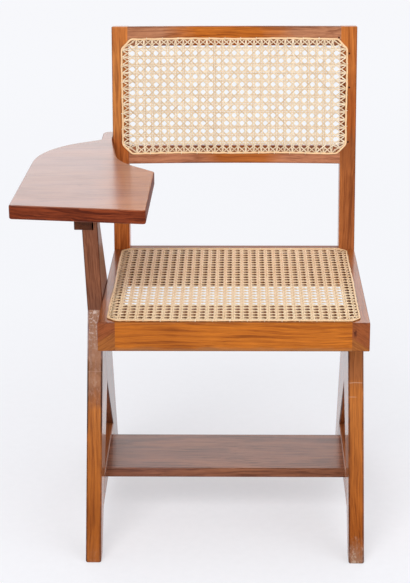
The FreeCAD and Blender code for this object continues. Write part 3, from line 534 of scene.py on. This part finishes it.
def teak(name, grain, tone, seed, rings=0.009, pith=0.06, figure=0.25, streaks=0.8, clouds=1.1, mottle=1.8,
         painted_sheen=0.15, gloss=0.5, polish=0.13, marks=()):
    """Lacquered teak. The board's place is turned so that its grain lies on X. Growth rings are circles
    round a pith line beside the board, swayed and faded by noise that is stretched along the grain.
    Streaks, clouds, mottle and pores are noise stretched by other shares, and the sum of these moves the
    colour about its tone. A pinkish painted sheen in large patches stands for reflections of the pale
    surroundings. Marks of use, and of painted light and shade, are laid over it. Gloss is the coat's
    weight, or a function that makes it with nodes."""
    finish = Finish(name)
    place = finish.place()
    chance = np.random.default_rng(seed)
    turn = grain.normalized().rotation_difference(ALONG_X).to_euler()
    shift = (float(chance.uniform(-3, 3)), pith * float(chance.uniform(0.6, 1.2)),
             pith * float(chance.uniform(0.4, 1.0)))
    board = finish.add("ShaderNodeMapping", Vector=place, Rotation=turn, Location=shift).outputs[0]

    def grained(along, across, detail=2.0, roughness=0.5, vector=board):
        return finish.noise(finish.stretched(vector, along, across), 1, detail, roughness).outputs

    def swayed_by(colour, reach):
        centred = finish.vectors("SUBTRACT", colour, (0.5, 0.5, 0.5))
        return finish.vectors("MULTIPLY", centred, (0, reach, reach))

    sway = swayed_by(grained(2.6, 11, 2, 0.45)["Color"], 0.035)
    ripple = swayed_by(grained(16, 70)["Color"], 0.004)
    swayed = finish.vectors("ADD", board, finish.vectors("ADD", sway, ripple))
    kind = {"wave_type": "RINGS", "rings_direction": "X", "wave_profile": "SIN"}
    ring = finish.add("ShaderNodeTexWave", kind, Vector=swayed,
                      Scale=2 * math.pi / (20 * rings)).outputs["Fac"]
    strong = finish.fade(grained(2.2, 30)["Fac"], 0.38, 0.62)
    streak = grained(5.5, 190, 4, 0.62, swayed)["Fac"]
    cloud = grained(7, 24)["Fac"]
    fleck = grained(11, 430, 4, 0.6, swayed)["Fac"]
    pore = finish.fade(grained(45, 1300, 1)["Fac"], 0.58, 0.72)
    value = finish.moved(0.5, ring, finish.times(strong, figure))
    for part, amount in ((streak, streaks), (cloud, clouds), (fleck, mottle)):
        value = finish.moved(value, part, amount)
    colour = finish.ramp(value, (0.08, shade(tone, 0.56, 0.48, 0.44)),
                         (0.34, shade(tone, 0.84, 0.79, 0.75)), (0.5, tone),
                         (0.68, shade(tone, 1.13, 1.15, 1.12)), (0.95, shade(tone, 1.32, 1.40, 1.40)))
    # Painted sheen: patches of a greyer, bluer tone that stand for reflections of the pale surroundings.
    sheen_patches = finish.fade(grained(5, 14)["Fac"], 0.45, 0.68, 0, painted_sheen)
    colour = finish.blend(sheen_patches, colour, shade(tone, 0.95, 1.15, 1.9))
    colour = finish.blend(finish.times(pore, 0.22), colour, shade(tone, 0.25, 0.2, 0.18))
    rough = finish.raised(0.22, streak, 0.2)
    for mark in marks:
        colour, rough = mark(finish, place, colour, rough)
    relief = finish.raised(finish.times(streak, 0.5), pore, -1.0)
    bump = finish.add("ShaderNodeBump", Strength=0.10, Distance=0.0006, Height=relief)
    coat = gloss(finish) if callable(gloss) else gloss
    finish.surface(Base_Color=colour, Roughness=rough, Normal=bump.outputs[0], Coat_Weight=coat,
                   Specular_IOR_Level=0.08, Coat_IOR=1.3, Coat_Roughness=polish)
    return finish.material


def facing(finish, way):
    """How squarely a face looks along a direction: 1 along it, 0 across it."""
    normal = finish.add("ShaderNodeNewGeometry").outputs["Normal"]
    return finish.size(finish.along(normal, way))


def lacquered(way, others, faces):
    """A coat of one weight on the faces that look along a direction, and of another on the others."""
    return lambda finish: finish.fade(facing(finish, way), *SQUARELY, others, faces)


def dull_post(finish):
    """Coat for the long rear leg, which is rubbed dull above the seat."""
    height = finish.split(finish.place())["Z"]
    return finish.fade(height, 0.40, 0.45, 0.6, 0.12)


def looking_back(finish):
    """How far a face looks rearwards: 1 to the rear, 0 across, -1 to the front."""
    return finish.along(finish.add("ShaderNodeNewGeometry").outputs["Normal"], ALONG_Y)


def lacquered_rear(finish):
    """Coat for a rail that is lacquered on its rear face only."""
    return finish.fade(looking_back(finish), 0.3, 0.7, 0.0, 0.5)


def shaded_inside_face(finish, place, colour, rough):
    """The rail's front face, inside the seat frame, is bare, and darkened as painted shade under the seat.
    """
    # Painted shade under the seat.
    return finish.tint(finish.fade(looking_back(finish), 0.3, -0.3), colour, 0.44, 0.24, 0.11), rough


def under_panel(finish, place, panel):
    """Where a board lies under a caned panel: 1 inside the eight-sided hole line, |across| < w, |along| < h
    and |across| + |along| < corner, on the faces near the panel's plane, and 0 elsewhere."""
    local = finish.vectors("SUBTRACT", place, panel.base)
    across = finish.size(finish.split(local)["X"])
    along = finish.size(finish.sums("SUBTRACT", finish.along(local, panel.way), panel.middle))
    beyond = finish.sums("MAXIMUM", finish.sums("SUBTRACT", across, panel.half_width),
                         finish.sums("SUBTRACT", along, panel.half_height))
    corner = finish.sums("SUBTRACT", finish.sums("ADD", across, along), panel.corner)
    beyond = finish.sums("MAXIMUM", beyond, corner)
    return finish.times(finish.fade(beyond, 0.0004, -0.0012),
                        finish.fade(finish.along(local, panel.facing), *NEAR_PLANE))


def bare_under(panel, coat):
    """Coat for a board that carries a caned panel: none where the panel covers it."""
    return lambda finish: finish.fade(under_panel(finish, finish.place(), panel), 0.0, 1.0, coat, 0.0)


def level_band(finish, value, low, high, soft):
    """1 between low and high, fading to 0 over soft outside them."""
    return finish.times(finish.fade(value, low - soft, low), finish.fade(value, high + soft, high))


def worn_arrises(way, red, green, blue):
    """A mark for a board's rounded long edges, which lie between the faces along a direction and those
    across it: there the colour is multiplied, in patches."""
    def mark(finish, place, colour, rough):
        lean = facing(finish, way)
        edge = finish.times(finish.fade(lean, 0.06, 0.3), finish.fade(lean, 0.995, 0.93))
        patch = finish.patches(place, 55, 3, 0.6)
        edge = finish.times(edge, finish.fade(patch, 0.3, 0.6, 0.35, 1.0))
        return finish.tint(edge, colour, red, green, blue), finish.raised(rough, edge, 0.2)
    return mark


def worn_foot(high, low, scuffs):
    """A mark for a leg: the wood deepens between two heights above the floor, and over the lowest
    centimetres the lacquer is rubbed dull, with an uneven upper edge and pale scuffs."""
    def mark(finish, place, colour, rough):
        height = finish.split(place)["Z"]
        colour = finish.tint(finish.fade(height, high, low), colour, 0.70, 0.57, 0.40)
        patch = finish.patches(place, 110, 3, 0.65)
        wear = finish.fade(finish.raised(height, patch, 0.05), 0.066, 0.03)
        scratch = finish.grain(place, (260, 260, 90), 2, 0.7)
        scratch = finish.times(wear, finish.fade(scratch, 0.5, 0.66))
        colour = finish.blend(finish.times(wear, 0.75 * scuffs), colour, BARE_FOOT)
        colour = finish.blend(finish.times(scratch, 0.7 * scuffs), colour, FOOT_SCUFF)
        return colour, finish.raised(rough, wear, 0.25)
    return mark


def mended_leg(finish, place, colour, rough):
    """An old mend: the leg is rubbed grey-brown from below its joint to its top, darker in a band on the
    joint and in another below it, flecked pale near the top, and with dark worn edges below the joint and
    pale ones above. A thin pale line crosses it at the joint."""
    height = finish.split(place)["Z"]
    level = finish.moved(height, finish.patches(place, 45, 4, 0.65), 0.05)
    rubbed = finish.fade(level, 0.238, 0.276, 0.0, 0.70)
    colour = finish.blend(rubbed, colour, MEND)
    colour = finish.tint(level_band(finish, level, 0.252, 0.274, 0.012), colour, 0.76, 0.70, 0.68)
    colour = finish.tint(level_band(finish, level, 0.302, 0.314, 0.008), colour, 0.80, 0.74, 0.66)
    streak = finish.grain(place, (240, 240, 26), 3, 0.65)
    streak = finish.times(finish.fade(streak, 0.5, 0.64, 0.0, 0.5), rubbed)
    colour = finish.blend(streak, colour, MEND_STREAK)
    fleck = finish.grain(place, (130, 130, 240), 3, 0.7)
    fleck = finish.times(finish.fade(fleck, 0.52, 0.64), finish.fade(height, 0.33, 0.395, 0.0, 0.75))
    colour = finish.blend(fleck, colour, MEND_FLECK)
    lean = facing(finish, ALONG_X)
    edge = finish.times(finish.fade(lean, 0.10, 0.4), finish.fade(lean, 0.998, 0.95))
    dark = finish.times(edge, level_band(finish, level, 0.215, 0.296, 0.03))
    colour = finish.tint(dark, colour, 0.42, 0.38, 0.40)
    pale = finish.times(edge, finish.fade(level, 0.316, 0.346, 0.0, 0.65))
    colour = finish.blend(pale, colour, MEND_EDGE)
    line = finish.raised(height, finish.patches(place, 70, 1, 0.5), 0.003)
    line = finish.times(level_band(finish, line, 0.3034, 0.3040, 0.0006),
                        finish.fade(facing(finish, ALONG_Y), *FRONTWARDS, 0.0, 0.18))
    return finish.blend(line, colour, MEND_LINE), finish.raised(rough, rubbed, 0.2)


def seat_shaded_scratched_leg(finish, place, colour, rough):
    """Painted shade under the seat: a deeper tone at the leg's top, down to a pale scratch right across it,
    and a shorter one below.
    """
    spot = finish.split(place)
    line = finish.raised(spot["Z"], finish.patches(place, 50, 1, 0.5), 0.004)
    # Painted shade under the seat deepens the leg's top down to the scratch.
    colour = finish.tint(finish.fade(line, 0.280, 0.300), colour, 0.81, 0.85, 1.30)
    first = level_band(finish, line, 0.2901, 0.2907, 0.0007)
    second = level_band(finish, line, 0.2675, 0.2680, 0.0006)
    second = finish.times(second, finish.fade(spot["X"], ORIGIN.x + 0.216, ORIGIN.x + 0.210))
    scratch = finish.times(finish.sums("MAXIMUM", first, second),
                           finish.fade(facing(finish, ALONG_Y), *FRONTWARDS, 0.0, 0.5))
    return finish.blend(scratch, colour, SCRATCH), rough


def ends_with_painted_sheen(middle, near, far, red, green, blue):
    """A mark for a back rail: warm about its middle, and greyer and pinker towards its two ends, a painted
    sheen that stands for reflections of the pale surroundings.
    """
    def mark(finish, place, colour, rough):
        across = finish.sums("SUBTRACT", finish.split(place)["X"], ORIGIN.x + middle)
        reach = finish.moved(finish.size(across), finish.grain(place, (14, 60, 60), 3, 0.6), 0.10)
        # Painted sheen towards the rail's two ends.
        return finish.tint(finish.fade(reach, near, far), colour, red, green, blue), rough
    return mark


def tablet_shaded_stile(finish, place, colour, rough):
    """The left stile is deeper and redder from the tablet's neck down, a painted shade of the tablet, and a
    little at its top end.
    """
    along = finish.along(finish.vectors("SUBTRACT", place, BACK.base), BACK.way)
    colour = finish.tint(finish.fade(along, 0.370, 0.400), colour, 0.86, 0.75, 0.68)
    # Painted shade of the tablet: deeper and redder from its neck down.
    colour = finish.tint(finish.fade(along, 0.232, 0.205), colour, 0.80, 0.61, 0.56)
    return finish.tint(finish.fade(along, 0.15, 0.10), colour, 1.30, 1.32, 1.32), rough


def right_stile_tones(finish, place, colour, rough):
    """The right stile deepens and reddens below its top and greys towards the seat, with ragged borders."""
    along = finish.along(finish.vectors("SUBTRACT", place, BACK.base), BACK.way)
    along = finish.moved(along, finish.grain(place, (120, 120, 22), 3, 0.6), 0.12)
    colour = finish.tint(finish.fade(along, 0.350, 0.280), colour, 0.73, 0.62, 0.60)
    colour = finish.tint(finish.fade(along, 0.240, 0.200), colour, 0.82, 0.95, 1.40)
    return finish.tint(finish.fade(along, 0.180, 0.140), colour, 1.26, 1.30, 1.25), rough


def worn_and_lit_lower_edge(finish, place, colour, rough):
    """The front rail is grey-brown along its lower edge, partly rubbed and partly a painted highlight of
    the floor's light on the rounded edge, and a little darker along its upper one.
    """
    level = finish.along(finish.vectors("SUBTRACT", place, SEAT.base), SEAT.facing)
    ragged = finish.moved(level, finish.grain(place, (26, 26, 160), 3, 0.6), 0.012)
    # Rubbed wear and a painted highlight of the floor's light on the rounded lower edge.
    rub = finish.fade(ragged, RAIL_BOTTOM + 0.0085, RAIL_BOTTOM + 0.0015, 0.0, 0.8)
    colour = finish.blend(rub, colour, RUBBED_AND_LIT_EDGE)
    arris = finish.fade(level, RAIL_BOTTOM + 0.0022, RAIL_BOTTOM + 0.0008)
    colour = finish.tint(arris, colour, 0.80, 0.76, 0.80)
    colour = finish.tint(finish.fade(ragged, -0.0055, -0.0020, 0.0, 0.7), colour, 0.82, 0.84, 1.10)
    left = finish.fade(finish.split(place)["X"], ORIGIN.x + 0.08, ORIGIN.x - 0.10)
    colour = finish.tint(left, colour, 0.88, 0.86, 0.90)
    return colour, finish.raised(rough, rub, 0.25)


def tablet_painted_light(finish, place, colour, rough):
    """Painted light and reflection on the writing tablet's top: a warmer, lighter brown towards the sitter,
    and bluer further out, where it stands for reflections of the pale surroundings.
    """
    across = finish.moved(finish.split(place)["X"], finish.grain(place, (9, 22, 9), 2, 0.5), 0.05)
    top = finish.fade(facing(finish, UP), *SQUARELY)
    near = finish.fade(across, ORIGIN.x - 0.245, ORIGIN.x - 0.175)
    far = finish.sums("SUBTRACT", top, finish.times(top, near))
    # Painted light: lighter and warmer towards the sitter, and bluer further out as a painted reflection.
    colour = finish.tint(finish.times(top, near), colour, 1.36, 1.36, 1.16)
    return finish.tint(far, colour, 0.90, 0.98, 1.10), rough


def dark_edges(finish, place, colour, rough):
    """The board's edges are deeper and redder than its faces, with dark wavy lines of grain along them."""
    edge = finish.fade(facing(finish, UP), 0.9, 0.45)
    sway = finish.grain(place, (11, 11, 40), 2, 0.5)
    spot = finish.split(place)
    level = finish.raised(finish.raised(spot["Z"], spot["X"], 0.04), sway, 0.03)
    bent = finish.add("ShaderNodeCombineXYZ", X=spot["X"], Y=spot["Y"], Z=level).outputs[0]
    line = finish.grain(bent, (9, 9, 420), 3, 0.6)
    colour = finish.tint(edge, colour, 0.66, 0.34, 0.18)
    line = finish.times(edge, finish.fade(line, 0.44, 0.58, 0.0, 0.9))
    return finish.tint(line, colour, 0.45, 0.36, 0.34), finish.raised(rough, edge, 0.2)


def ink_spots(finish, place, colour, rough):
    """Small dark stains of use on the writing surface, and a few dull rubs."""
    spot = finish.grain(place, (38, 60, 20), 3, 0.6)
    colour = finish.tint(finish.fade(spot, 0.66, 0.76, 0, 0.5), colour, 0.55, 0.5, 0.5)
    rub = finish.grain(place, (9, 26, 9), 3, 0.6)
    return colour, finish.raised(rough, rub, 0.12)


def shaded_by_cane(panel, red, green, blue):
    """A mark for boards that carry a caned panel: the bare wood under the cane is dull, and darker partly
    by its own tone and partly by painted shade of the cane over it.
    """
    def mark(finish, place, colour, rough):
        shaded = under_panel(finish, place, panel)
        # Painted shade of the cane, with the bare wood's darker tone.
        return finish.tint(shaded, colour, red, green, blue), finish.raised(rough, shaded, 0.3)
    return mark


def spare_holes(*spots):
    """A mark for the back frame: old empty peg holes at places across and along the back, which are not cut
    but painted as dark discs of shade.
    """
    def mark(finish, place, colour, rough):
        local = finish.vectors("SUBTRACT", place, BACK.base)
        flat = finish.add("ShaderNodeCombineXYZ", X=finish.split(local)["X"],
                          Y=finish.along(local, BACK.way)).outputs[0]
        front = finish.fade(finish.along(local, BACK.facing), *NEAR_PLANE)
        for across, along in spots:
            gap = finish.length(finish.vectors("SUBTRACT", flat, (across, along, 0)))
            hole = finish.times(finish.fade(gap, 0.0021, 0.0014), front)
            # Painted shade: each hole is a near-black disc on the surface.
            colour = finish.tint(hole, colour, 0.08, 0.06, 0.05)
        return colour, rough
    return mark


def rail_end(split_x, split_z, slope, crack=None):
    """A mark for a side rail: its end grain at the front is redder above a slanting line and yellower below
    it, with fine streaks along the same slant, and may have a dark crack at a point."""
    lean = math.atan(slope)

    def mark(finish, place, colour, rough):
        local = finish.vectors("SUBTRACT", place, SEAT.base)
        end = finish.fade(finish.along(local, SEAT.way), 0.0045, 0.0030)
        along = finish.along(local, (math.cos(lean), 0, math.sin(lean)))
        above = finish.along(local, (-math.sin(lean), 0, math.cos(lean)))
        middle = split_z * math.cos(lean) - split_x * math.sin(lean)
        slanted = finish.add("ShaderNodeCombineXYZ", X=finish.times(along, 40.0),
                             Y=finish.times(above, 420.0))
        streak = finish.patches(slanted.outputs[0], 1, 3, 0.6)
        ragged = finish.moved(above, finish.patches(place, 160, 2, 0.5), 0.004)
        upper = finish.fade(ragged, middle - 0.0015, middle + 0.0015)
        smooth = finish.blend(upper, LOWER_END_GRAIN, UPPER_END_GRAIN)
        smooth = finish.tint(finish.fade(streak, 0.42, 0.62), smooth, 0.60, 0.52, 0.48)
        colour = finish.blend(finish.times(end, 0.85), colour, smooth)
        if crack:
            gap = finish.vectors("MULTIPLY", finish.vectors("SUBTRACT", local, crack), (1.0, 0.2, 0.36))
            size = finish.moved(finish.length(gap), finish.grain(place, (700, 700, 260), 3, 0.7), 0.006)
            colour = finish.tint(finish.fade(size, 0.0032, 0.0014, 0, 0.85), colour, 0.3, 0.22, 0.2)
        return colour, rough
    return mark


def woven_cane(name, pale, deep, shaded_from=None):
    """Cane skin: straw colour that changes from strand to strand and along each strand, deeper at the
    strand's two edges, partly its own darker edge and partly painted shade between strands, with fine
    fibres lengthwise and a soft gloss. From a place along Y rearwards the cane may be deeper, a painted
    shade towards the back of the seat."""
    finish = Finish(name)
    fibre = finish.add("ShaderNodeAttribute", {"attribute_name": "fibre"}).outputs["Vector"]
    part = finish.split(fibre)
    cloud = finish.grain(fibre, (0.5, 14, 40), 2, 0.6)
    line = finish.grain(fibre, (14, 22, 60), 2, 0.6)
    value = finish.raised(finish.times(cloud, 0.75), part["Z"], 0.35)
    value = finish.raised(value, line, 0.25)
    colour = finish.ramp(finish.fade(value, 0.3, 1.05), (0.0, deep), (1.0, pale))
    # Painted shade between strands, with the skin's own darker edges, deepens each strand's two edges.
    edge = finish.fade(finish.size(part["X"]), 0.28, 0.5, 0.0, 0.75)
    colour = finish.tint(edge, colour, 0.70, 0.60, 0.48)
    if shaded_from is not None:
        # Painted shade: deeper towards the back of the seat.
        rearward = finish.split(finish.place())["Y"]
        colour = finish.tint(finish.fade(rearward, shaded_from, shaded_from + 0.15), colour, 0.95, 0.87, 0.83)
    bump = finish.add("ShaderNodeBump", Strength=0.15, Distance=0.0003, Height=line)
    finish.surface(Base_Color=colour, Roughness=finish.raised(0.32, line, 0.25), Normal=bump.outputs[0])
    return finish.material


def plain_wood(name, dark, light):
    """Raw dowel wood with a fine even grain."""
    finish = Finish(name)
    streak = finish.grain(finish.place(), (300, 300, 40), 3, 0.6)
    finish.surface(Base_Color=finish.ramp(streak, (0.3, dark), (0.7, light)),
                   Roughness=finish.fade(streak, 0, 1, 0.5, 0.75))
    return finish.material


def screw_steel(name):
    """Plain steel with a slight tarnish, which also roughens it."""
    finish = Finish(name)
    tarnish = finish.patches(finish.place(), 600, 3, 0.6)
    colour = finish.ramp(tarnish, (0.3, paint(120, 116, 110)), (0.7, paint(176, 174, 170)))
    finish.surface(Base_Color=colour, Roughness=finish.fade(tarnish, 0, 1, 0.25, 0.5), Metallic=1.0)
    return finish.material


# Grain of the legs, along their lengths
FRONT_LEG = Vector((0, 0.187, 0.4))
REAR_LEG = Vector((0, -0.197, 0.24))
POST = Vector((0, -0.118, 0.352))

SPARE_HOLES = spare_holes((0.1958, 0.4020), (0.2155, 0.3725), (0.2160, 0.3091), (0.2150, 0.2064))
LEFT_END = rail_end(split_x=-0.217, split_z=-0.027, slope=0.62)
RIGHT_END = rail_end(split_x=0.214, split_z=-0.036, slope=-0.7, crack=(0.2050, 0.0, -0.0185))
UNDER_SEAT_CANE = shaded_by_cane(SEAT, 0.46, 0.40, 0.40)
UNDER_BACK_CANE = shaded_by_cane(BACK, 0.74, 0.66, 0.60)
SEAT_COAT = bare_under(SEAT, 0.5)
BACK_COAT = bare_under(BACK, 0.45)
TABLET_COAT = lacquered(UP, others=0.1, faces=0.95)
LEG_COAT = lacquered(ALONG_X, others=0.45, faces=0.7)
LEG_ARRISES = worn_arrises(ALONG_X, 0.46, 0.43, 0.52)
STILE_ARRISES = worn_arrises(ALONG_X, 0.60, 0.53, 0.54)
BACK_RAIL_ARRISES = worn_arrises(UP_BACK, 0.66, 0.60, 0.62)
SEAT_RAIL_ARRISES = worn_arrises(SEAT.facing, 0.70, 0.64, 0.66)

BOARDS = {
    "seat_front_rail": teak(
        "teak_front_rail", ALONG_X, paint(180, 100, 26), 11, figure=0.25, clouds=0.9, mottle=1.8, painted_sheen=0.0,
        gloss=bare_under(SEAT, 0.35), marks=[worn_and_lit_lower_edge, UNDER_SEAT_CANE]),
    "seat_left_rail": teak(
        "teak_left_rail", ALONG_SEAT, paint(150, 84, 42), 12, rings=0.007, pith=0.03, gloss=SEAT_COAT,
        marks=[LEFT_END, SEAT_RAIL_ARRISES, UNDER_SEAT_CANE]),
    "seat_right_rail": teak(
        "teak_right_rail", ALONG_SEAT, paint(156, 88, 43), 13, rings=0.007, pith=0.03, gloss=SEAT_COAT,
        marks=[RIGHT_END, SEAT_RAIL_ARRISES, UNDER_SEAT_CANE]),
    "seat_rear_rail": teak(
        "teak_rear_rail", ALONG_X, paint(150, 84, 42), 14, gloss=lacquered_rear, marks=[shaded_inside_face]),
    # The cross rail's deep tone is painted shade, as it lies in shade under the seat.
    "seat_cross_rail": teak("teak_cross_rail", ALONG_X, paint(132, 62, 18), 15, gloss=0.0),
    "back_left_stile": teak(
        "teak_left_stile", UP_BACK, paint(196, 122, 61), 16, gloss=BACK_COAT,
        marks=[tablet_shaded_stile, STILE_ARRISES, UNDER_BACK_CANE]),
    "back_right_stile": teak(
        "teak_right_stile", UP_BACK, paint(182, 104, 46), 17, gloss=BACK_COAT,
        marks=[right_stile_tones, STILE_ARRISES, UNDER_BACK_CANE, SPARE_HOLES]),
    "back_top_rail": teak(
        "teak_top_rail", ALONG_X, paint(180, 99, 33), 18, painted_sheen=0.0, gloss=bare_under(BACK, 0.35),
        marks=[ends_with_painted_sheen(-0.015, 0.06, 0.12, 0.84, 1.28, 5.4), BACK_RAIL_ARRISES, UNDER_BACK_CANE,
               SPARE_HOLES]),
    "back_bottom_rail": teak(
        "teak_bottom_rail", ALONG_X, paint(165, 92, 42), 19, painted_sheen=0.0, gloss=bare_under(BACK, 0.35),
        marks=[ends_with_painted_sheen(0.015, 0.04, 0.10, 1.12, 1.56, 3.8), BACK_RAIL_ARRISES, UNDER_BACK_CANE]),
    "left_front_leg": teak(
        "teak_left_front_leg", FRONT_LEG, paint(170, 99, 40), 20, painted_sheen=0.1, gloss=LEG_COAT,
        marks=[worn_foot(high=0.26, low=0.0, scuffs=0.1), mended_leg, LEG_ARRISES]),
    "left_rear_leg": teak(
        "teak_left_rear_leg", POST, paint(132, 82, 58), 21, gloss=dull_post,
        marks=[worn_foot(high=0.24, low=0.0, scuffs=0.6), LEG_ARRISES]),
    "right_front_leg": teak(
        "teak_right_front_leg", FRONT_LEG, paint(177, 104, 45), 22, painted_sheen=0.1, gloss=LEG_COAT,
        marks=[worn_foot(high=0.24, low=0.06, scuffs=1.0), seat_shaded_scratched_leg, LEG_ARRISES]),
    "right_rear_leg": teak(
        "teak_right_rear_leg", REAR_LEG, paint(164, 94, 50), 23, gloss=LEG_COAT,
        marks=[worn_foot(high=0.24, low=0.0, scuffs=0.6), LEG_ARRISES]),
    "left_stretcher": teak("teak_left_stretcher", ALONG_Y, paint(150, 88, 50), 24),
    "right_stretcher": teak("teak_right_stretcher", ALONG_Y, paint(150, 88, 50), 25),
    "book_shelf": teak(
        "teak_shelf", ALONG_X, paint(130, 80, 55), 26, rings=0.011, pith=0.08, figure=0.8, streaks=1.0,
        clouds=1.0, mottle=3.2, painted_sheen=0.3, gloss=0.6),
    "writing_tablet": teak(
        "teak_tablet", ALONG_X, paint(150, 92, 66), 27, rings=0.010, pith=0.07, streaks=0.6, clouds=0.9,
        mottle=1.2, painted_sheen=0.3, gloss=TABLET_COAT, polish=0.2, marks=[tablet_painted_light, ink_spots, dark_edges]),
    "tablet_bearer": teak("teak_bearer", ALONG_Y, paint(89, 47, 26), 28, gloss=0.2),
}
plug_teak = teak("teak_plugs", ALONG_X, paint(160, 92, 46), 29)
for plug in ("left_frame_plugs", "tongue_plugs", "bearer_plugs"):
    BOARDS[plug] = plug_teak
dowel_wood = plain_wood("dowel_wood", paint(164, 122, 78), paint(202, 164, 118))
for pin in ("right_frame_dowels", "leg_joint_dowels", "stretcher_dowels", "shelf_dowels", "bearer_dowel",
            "seat_cane_pegs", "back_cane_pegs"):
    BOARDS[pin] = dowel_wood
steel = screw_steel("screw_steel")
for fixing in ("left_frame_screws", "tongue_screws", "bearer_screws"):
    BOARDS[fixing] = steel
for node, material in BOARDS.items():
    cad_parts[node].data.materials.clear()
    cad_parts[node].data.materials.append(material)

cane = woven_cane("cane_strand", paint(255, 240, 214), paint(210, 177, 136))
edging = woven_cane("cane_binding", paint(252, 216, 170), paint(228, 182, 132))
seat_cane = woven_cane("seat_cane_strand", paint(255, 235, 202), paint(230, 190, 139),
                       shaded_from=ORIGIN.y + 0.14)
weave_panel(SEAT, seat_cane, "seat_cane", 40)
weave_panel(BACK, cane, "back_cane", 50)
bind_edge(SEAT, edging, "seat_cane_binding", 60)
bind_edge(BACK, edging, "back_cane_binding", 61)
stitch_edge(SEAT, cane, "seat_cane_binding", 62)
stitch_edge(BACK, cane, "back_cane_binding", 63)

# Camera, fitted to the photograph
IMAGE_SIZE = (410, 583)
FOCAL_PIXELS = 1736.55
CAMERA_PLACE = Vector((0.0083, -2.7074, 1.5204)) + ORIGIN
CAMERA_PITCH = math.radians(20.93)
CAMERA_YAW = math.radians(1.18)
CAMERA_ROLL = math.radians(-0.36)

# Studio: the white far off, half the floor's side, and where under the chair its shadow is deepest
FAR_WHITE = (0.965, 0.97, 1.0, 1)
FLOOR_HALF = 14.0
SHADOW_MIDDLE = (0.05, -0.1, 0)


def add_camera():
    """Camera that looks ahead and down, turned by its yaw, pitch and roll."""
    data = bpy.data.cameras.new("camera")
    data.sensor_fit = "VERTICAL"
    data.sensor_height = 36.0
    data.lens = FOCAL_PIXELS / IMAGE_SIZE[1] * data.sensor_height
    camera = add_object("camera", data)
    ahead = Vector((-math.sin(CAMERA_YAW) * math.cos(CAMERA_PITCH),
                    math.cos(CAMERA_YAW) * math.cos(CAMERA_PITCH), -math.sin(CAMERA_PITCH)))
    right = Vector((math.cos(CAMERA_YAW), math.sin(CAMERA_YAW), 0))
    up = right.cross(ahead)
    turned_right = right * math.cos(CAMERA_ROLL) + up * math.sin(CAMERA_ROLL)
    turned_up = up * math.cos(CAMERA_ROLL) - right * math.sin(CAMERA_ROLL)
    rotation = Matrix((turned_right, turned_up, -ahead)).transposed()
    camera.matrix_world = Matrix.Translation(CAMERA_PLACE) @ rotation.to_4x4()
    bpy.context.scene.camera = camera


def add_floor():
    """Pale studio floor: paper that is half lit and half plain white to the camera under the chair, so that
    the shadow stays soft, nearly all plain white beside it, and far off as white as the surroundings."""
    half = FLOOR_HALF
    mesh = bpy.data.meshes.new("studio_floor")
    corners = [(-half, -half, 0), (half, -half, 0), (half, half, 0), (-half, half, 0)]
    mesh.from_pydata(corners, [], [(0, 1, 2, 3)])
    floor = add_object("studio_floor", mesh)
    finish = Finish("studio_paper")
    place = finish.place()
    speckle = finish.patches(place, 60, 3, 0.6)
    colour = finish.ramp(speckle, (0.3, paint(243, 243, 247)), (0.7, paint(247, 247, 251)))
    finish.surface(Base_Color=colour, Roughness=0.9, Specular_IOR_Level=0.1)
    path = finish.add("ShaderNodeLightPath").outputs
    seen = finish.sums("MAXIMUM", path["Is Camera Ray"],
                       finish.sums("MAXIMUM", path["Is Glossy Ray"], path["Is Transmission Ray"]))
    offset = finish.vectors("SUBTRACT", place, SHADOW_MIDDLE)
    distance = finish.length(offset)
    share = finish.times(seen, finish.fade(distance, 0.1, 1.2, 0.45, 0.96))
    white = finish.blend(finish.fade(distance, 2.0, 6.0), paint(246, 247, 251), FAR_WHITE)
    glow = finish.add("ShaderNodeEmission", Color=white, Strength=1.0)
    mix = finish.add("ShaderNodeMixShader", Fac=share)
    finish.tree.links.new(finish.shader.outputs[0], mix.inputs[1])
    finish.tree.links.new(glow.outputs[0], mix.inputs[2])
    finish.tree.links.new(mix.outputs[0], finish.tree.nodes["Material Output"].inputs["Surface"])
    mesh.materials.append(finish.material)


def add_soft_light(name, place, aim, size, radiance):
    """A rectangular soft light of an even brightness, turned to its aim."""
    data = bpy.data.lights.new(name, "AREA")
    data.shape = "RECTANGLE"
    data.size, data.size_y = size
    data.energy = radiance * math.pi * size[0] * size[1]
    place = Vector(place)
    turn = (Vector(aim) - place).to_track_quat("-Z", "Y")
    add_object(name, data).matrix_world = Matrix.Translation(place) @ turn.to_matrix().to_4x4()


def add_surroundings():
    """Surroundings: white all round to the camera. In a reflection they are white behind and above the
    chair and dim in front of it, where the room is dark, and the light they give is six tenths of that."""
    world = bpy.data.worlds.new("studio")
    bpy.context.scene.world = world
    world.use_nodes = True
    nodes = Nodes(world.node_tree)
    path = nodes.add("ShaderNodeLightPath").outputs
    seen = nodes.sums("MAXIMUM", path["Is Glossy Ray"], path["Is Transmission Ray"])
    level = nodes.fade(seen, 0.0, 1.0, 0.6, 1.0)
    way = nodes.split(nodes.add("ShaderNodeTexCoord").outputs["Generated"])
    behind = nodes.add("ShaderNodeMapRange", {"interpolation_type": "SMOOTHSTEP"}, Value=way["Y"],
                       From_Min=-0.75, From_Max=0.25, To_Min=0.3).outputs[0]
    shown = nodes.sums("MAXIMUM", nodes.times(behind, level), path["Is Camera Ray"])
    background = nodes.tree.nodes["Background"].inputs
    nodes.set(background["Color"], FAR_WHITE)
    nodes.set(background["Strength"], shown)


add_camera()
add_floor()
add_surroundings()
add_soft_light("key_light", place=(-0.9, -2.6, 2.7), aim=(0, 0, 0.5), size=(2.0, 2.0), radiance=6.3)
add_soft_light("fill_light", place=(2.3, -2.0, 1.9), aim=(0, 0, 0.5), size=(3.4, 3.4), radiance=1.45)
add_soft_light("rear_light", place=(0, 3.4, 2.1), aim=(0, 0, 0.6), size=(4.4, 2.2), radiance=1.3)
bpy.context.scene.view_settings.view_transform = "Standard"
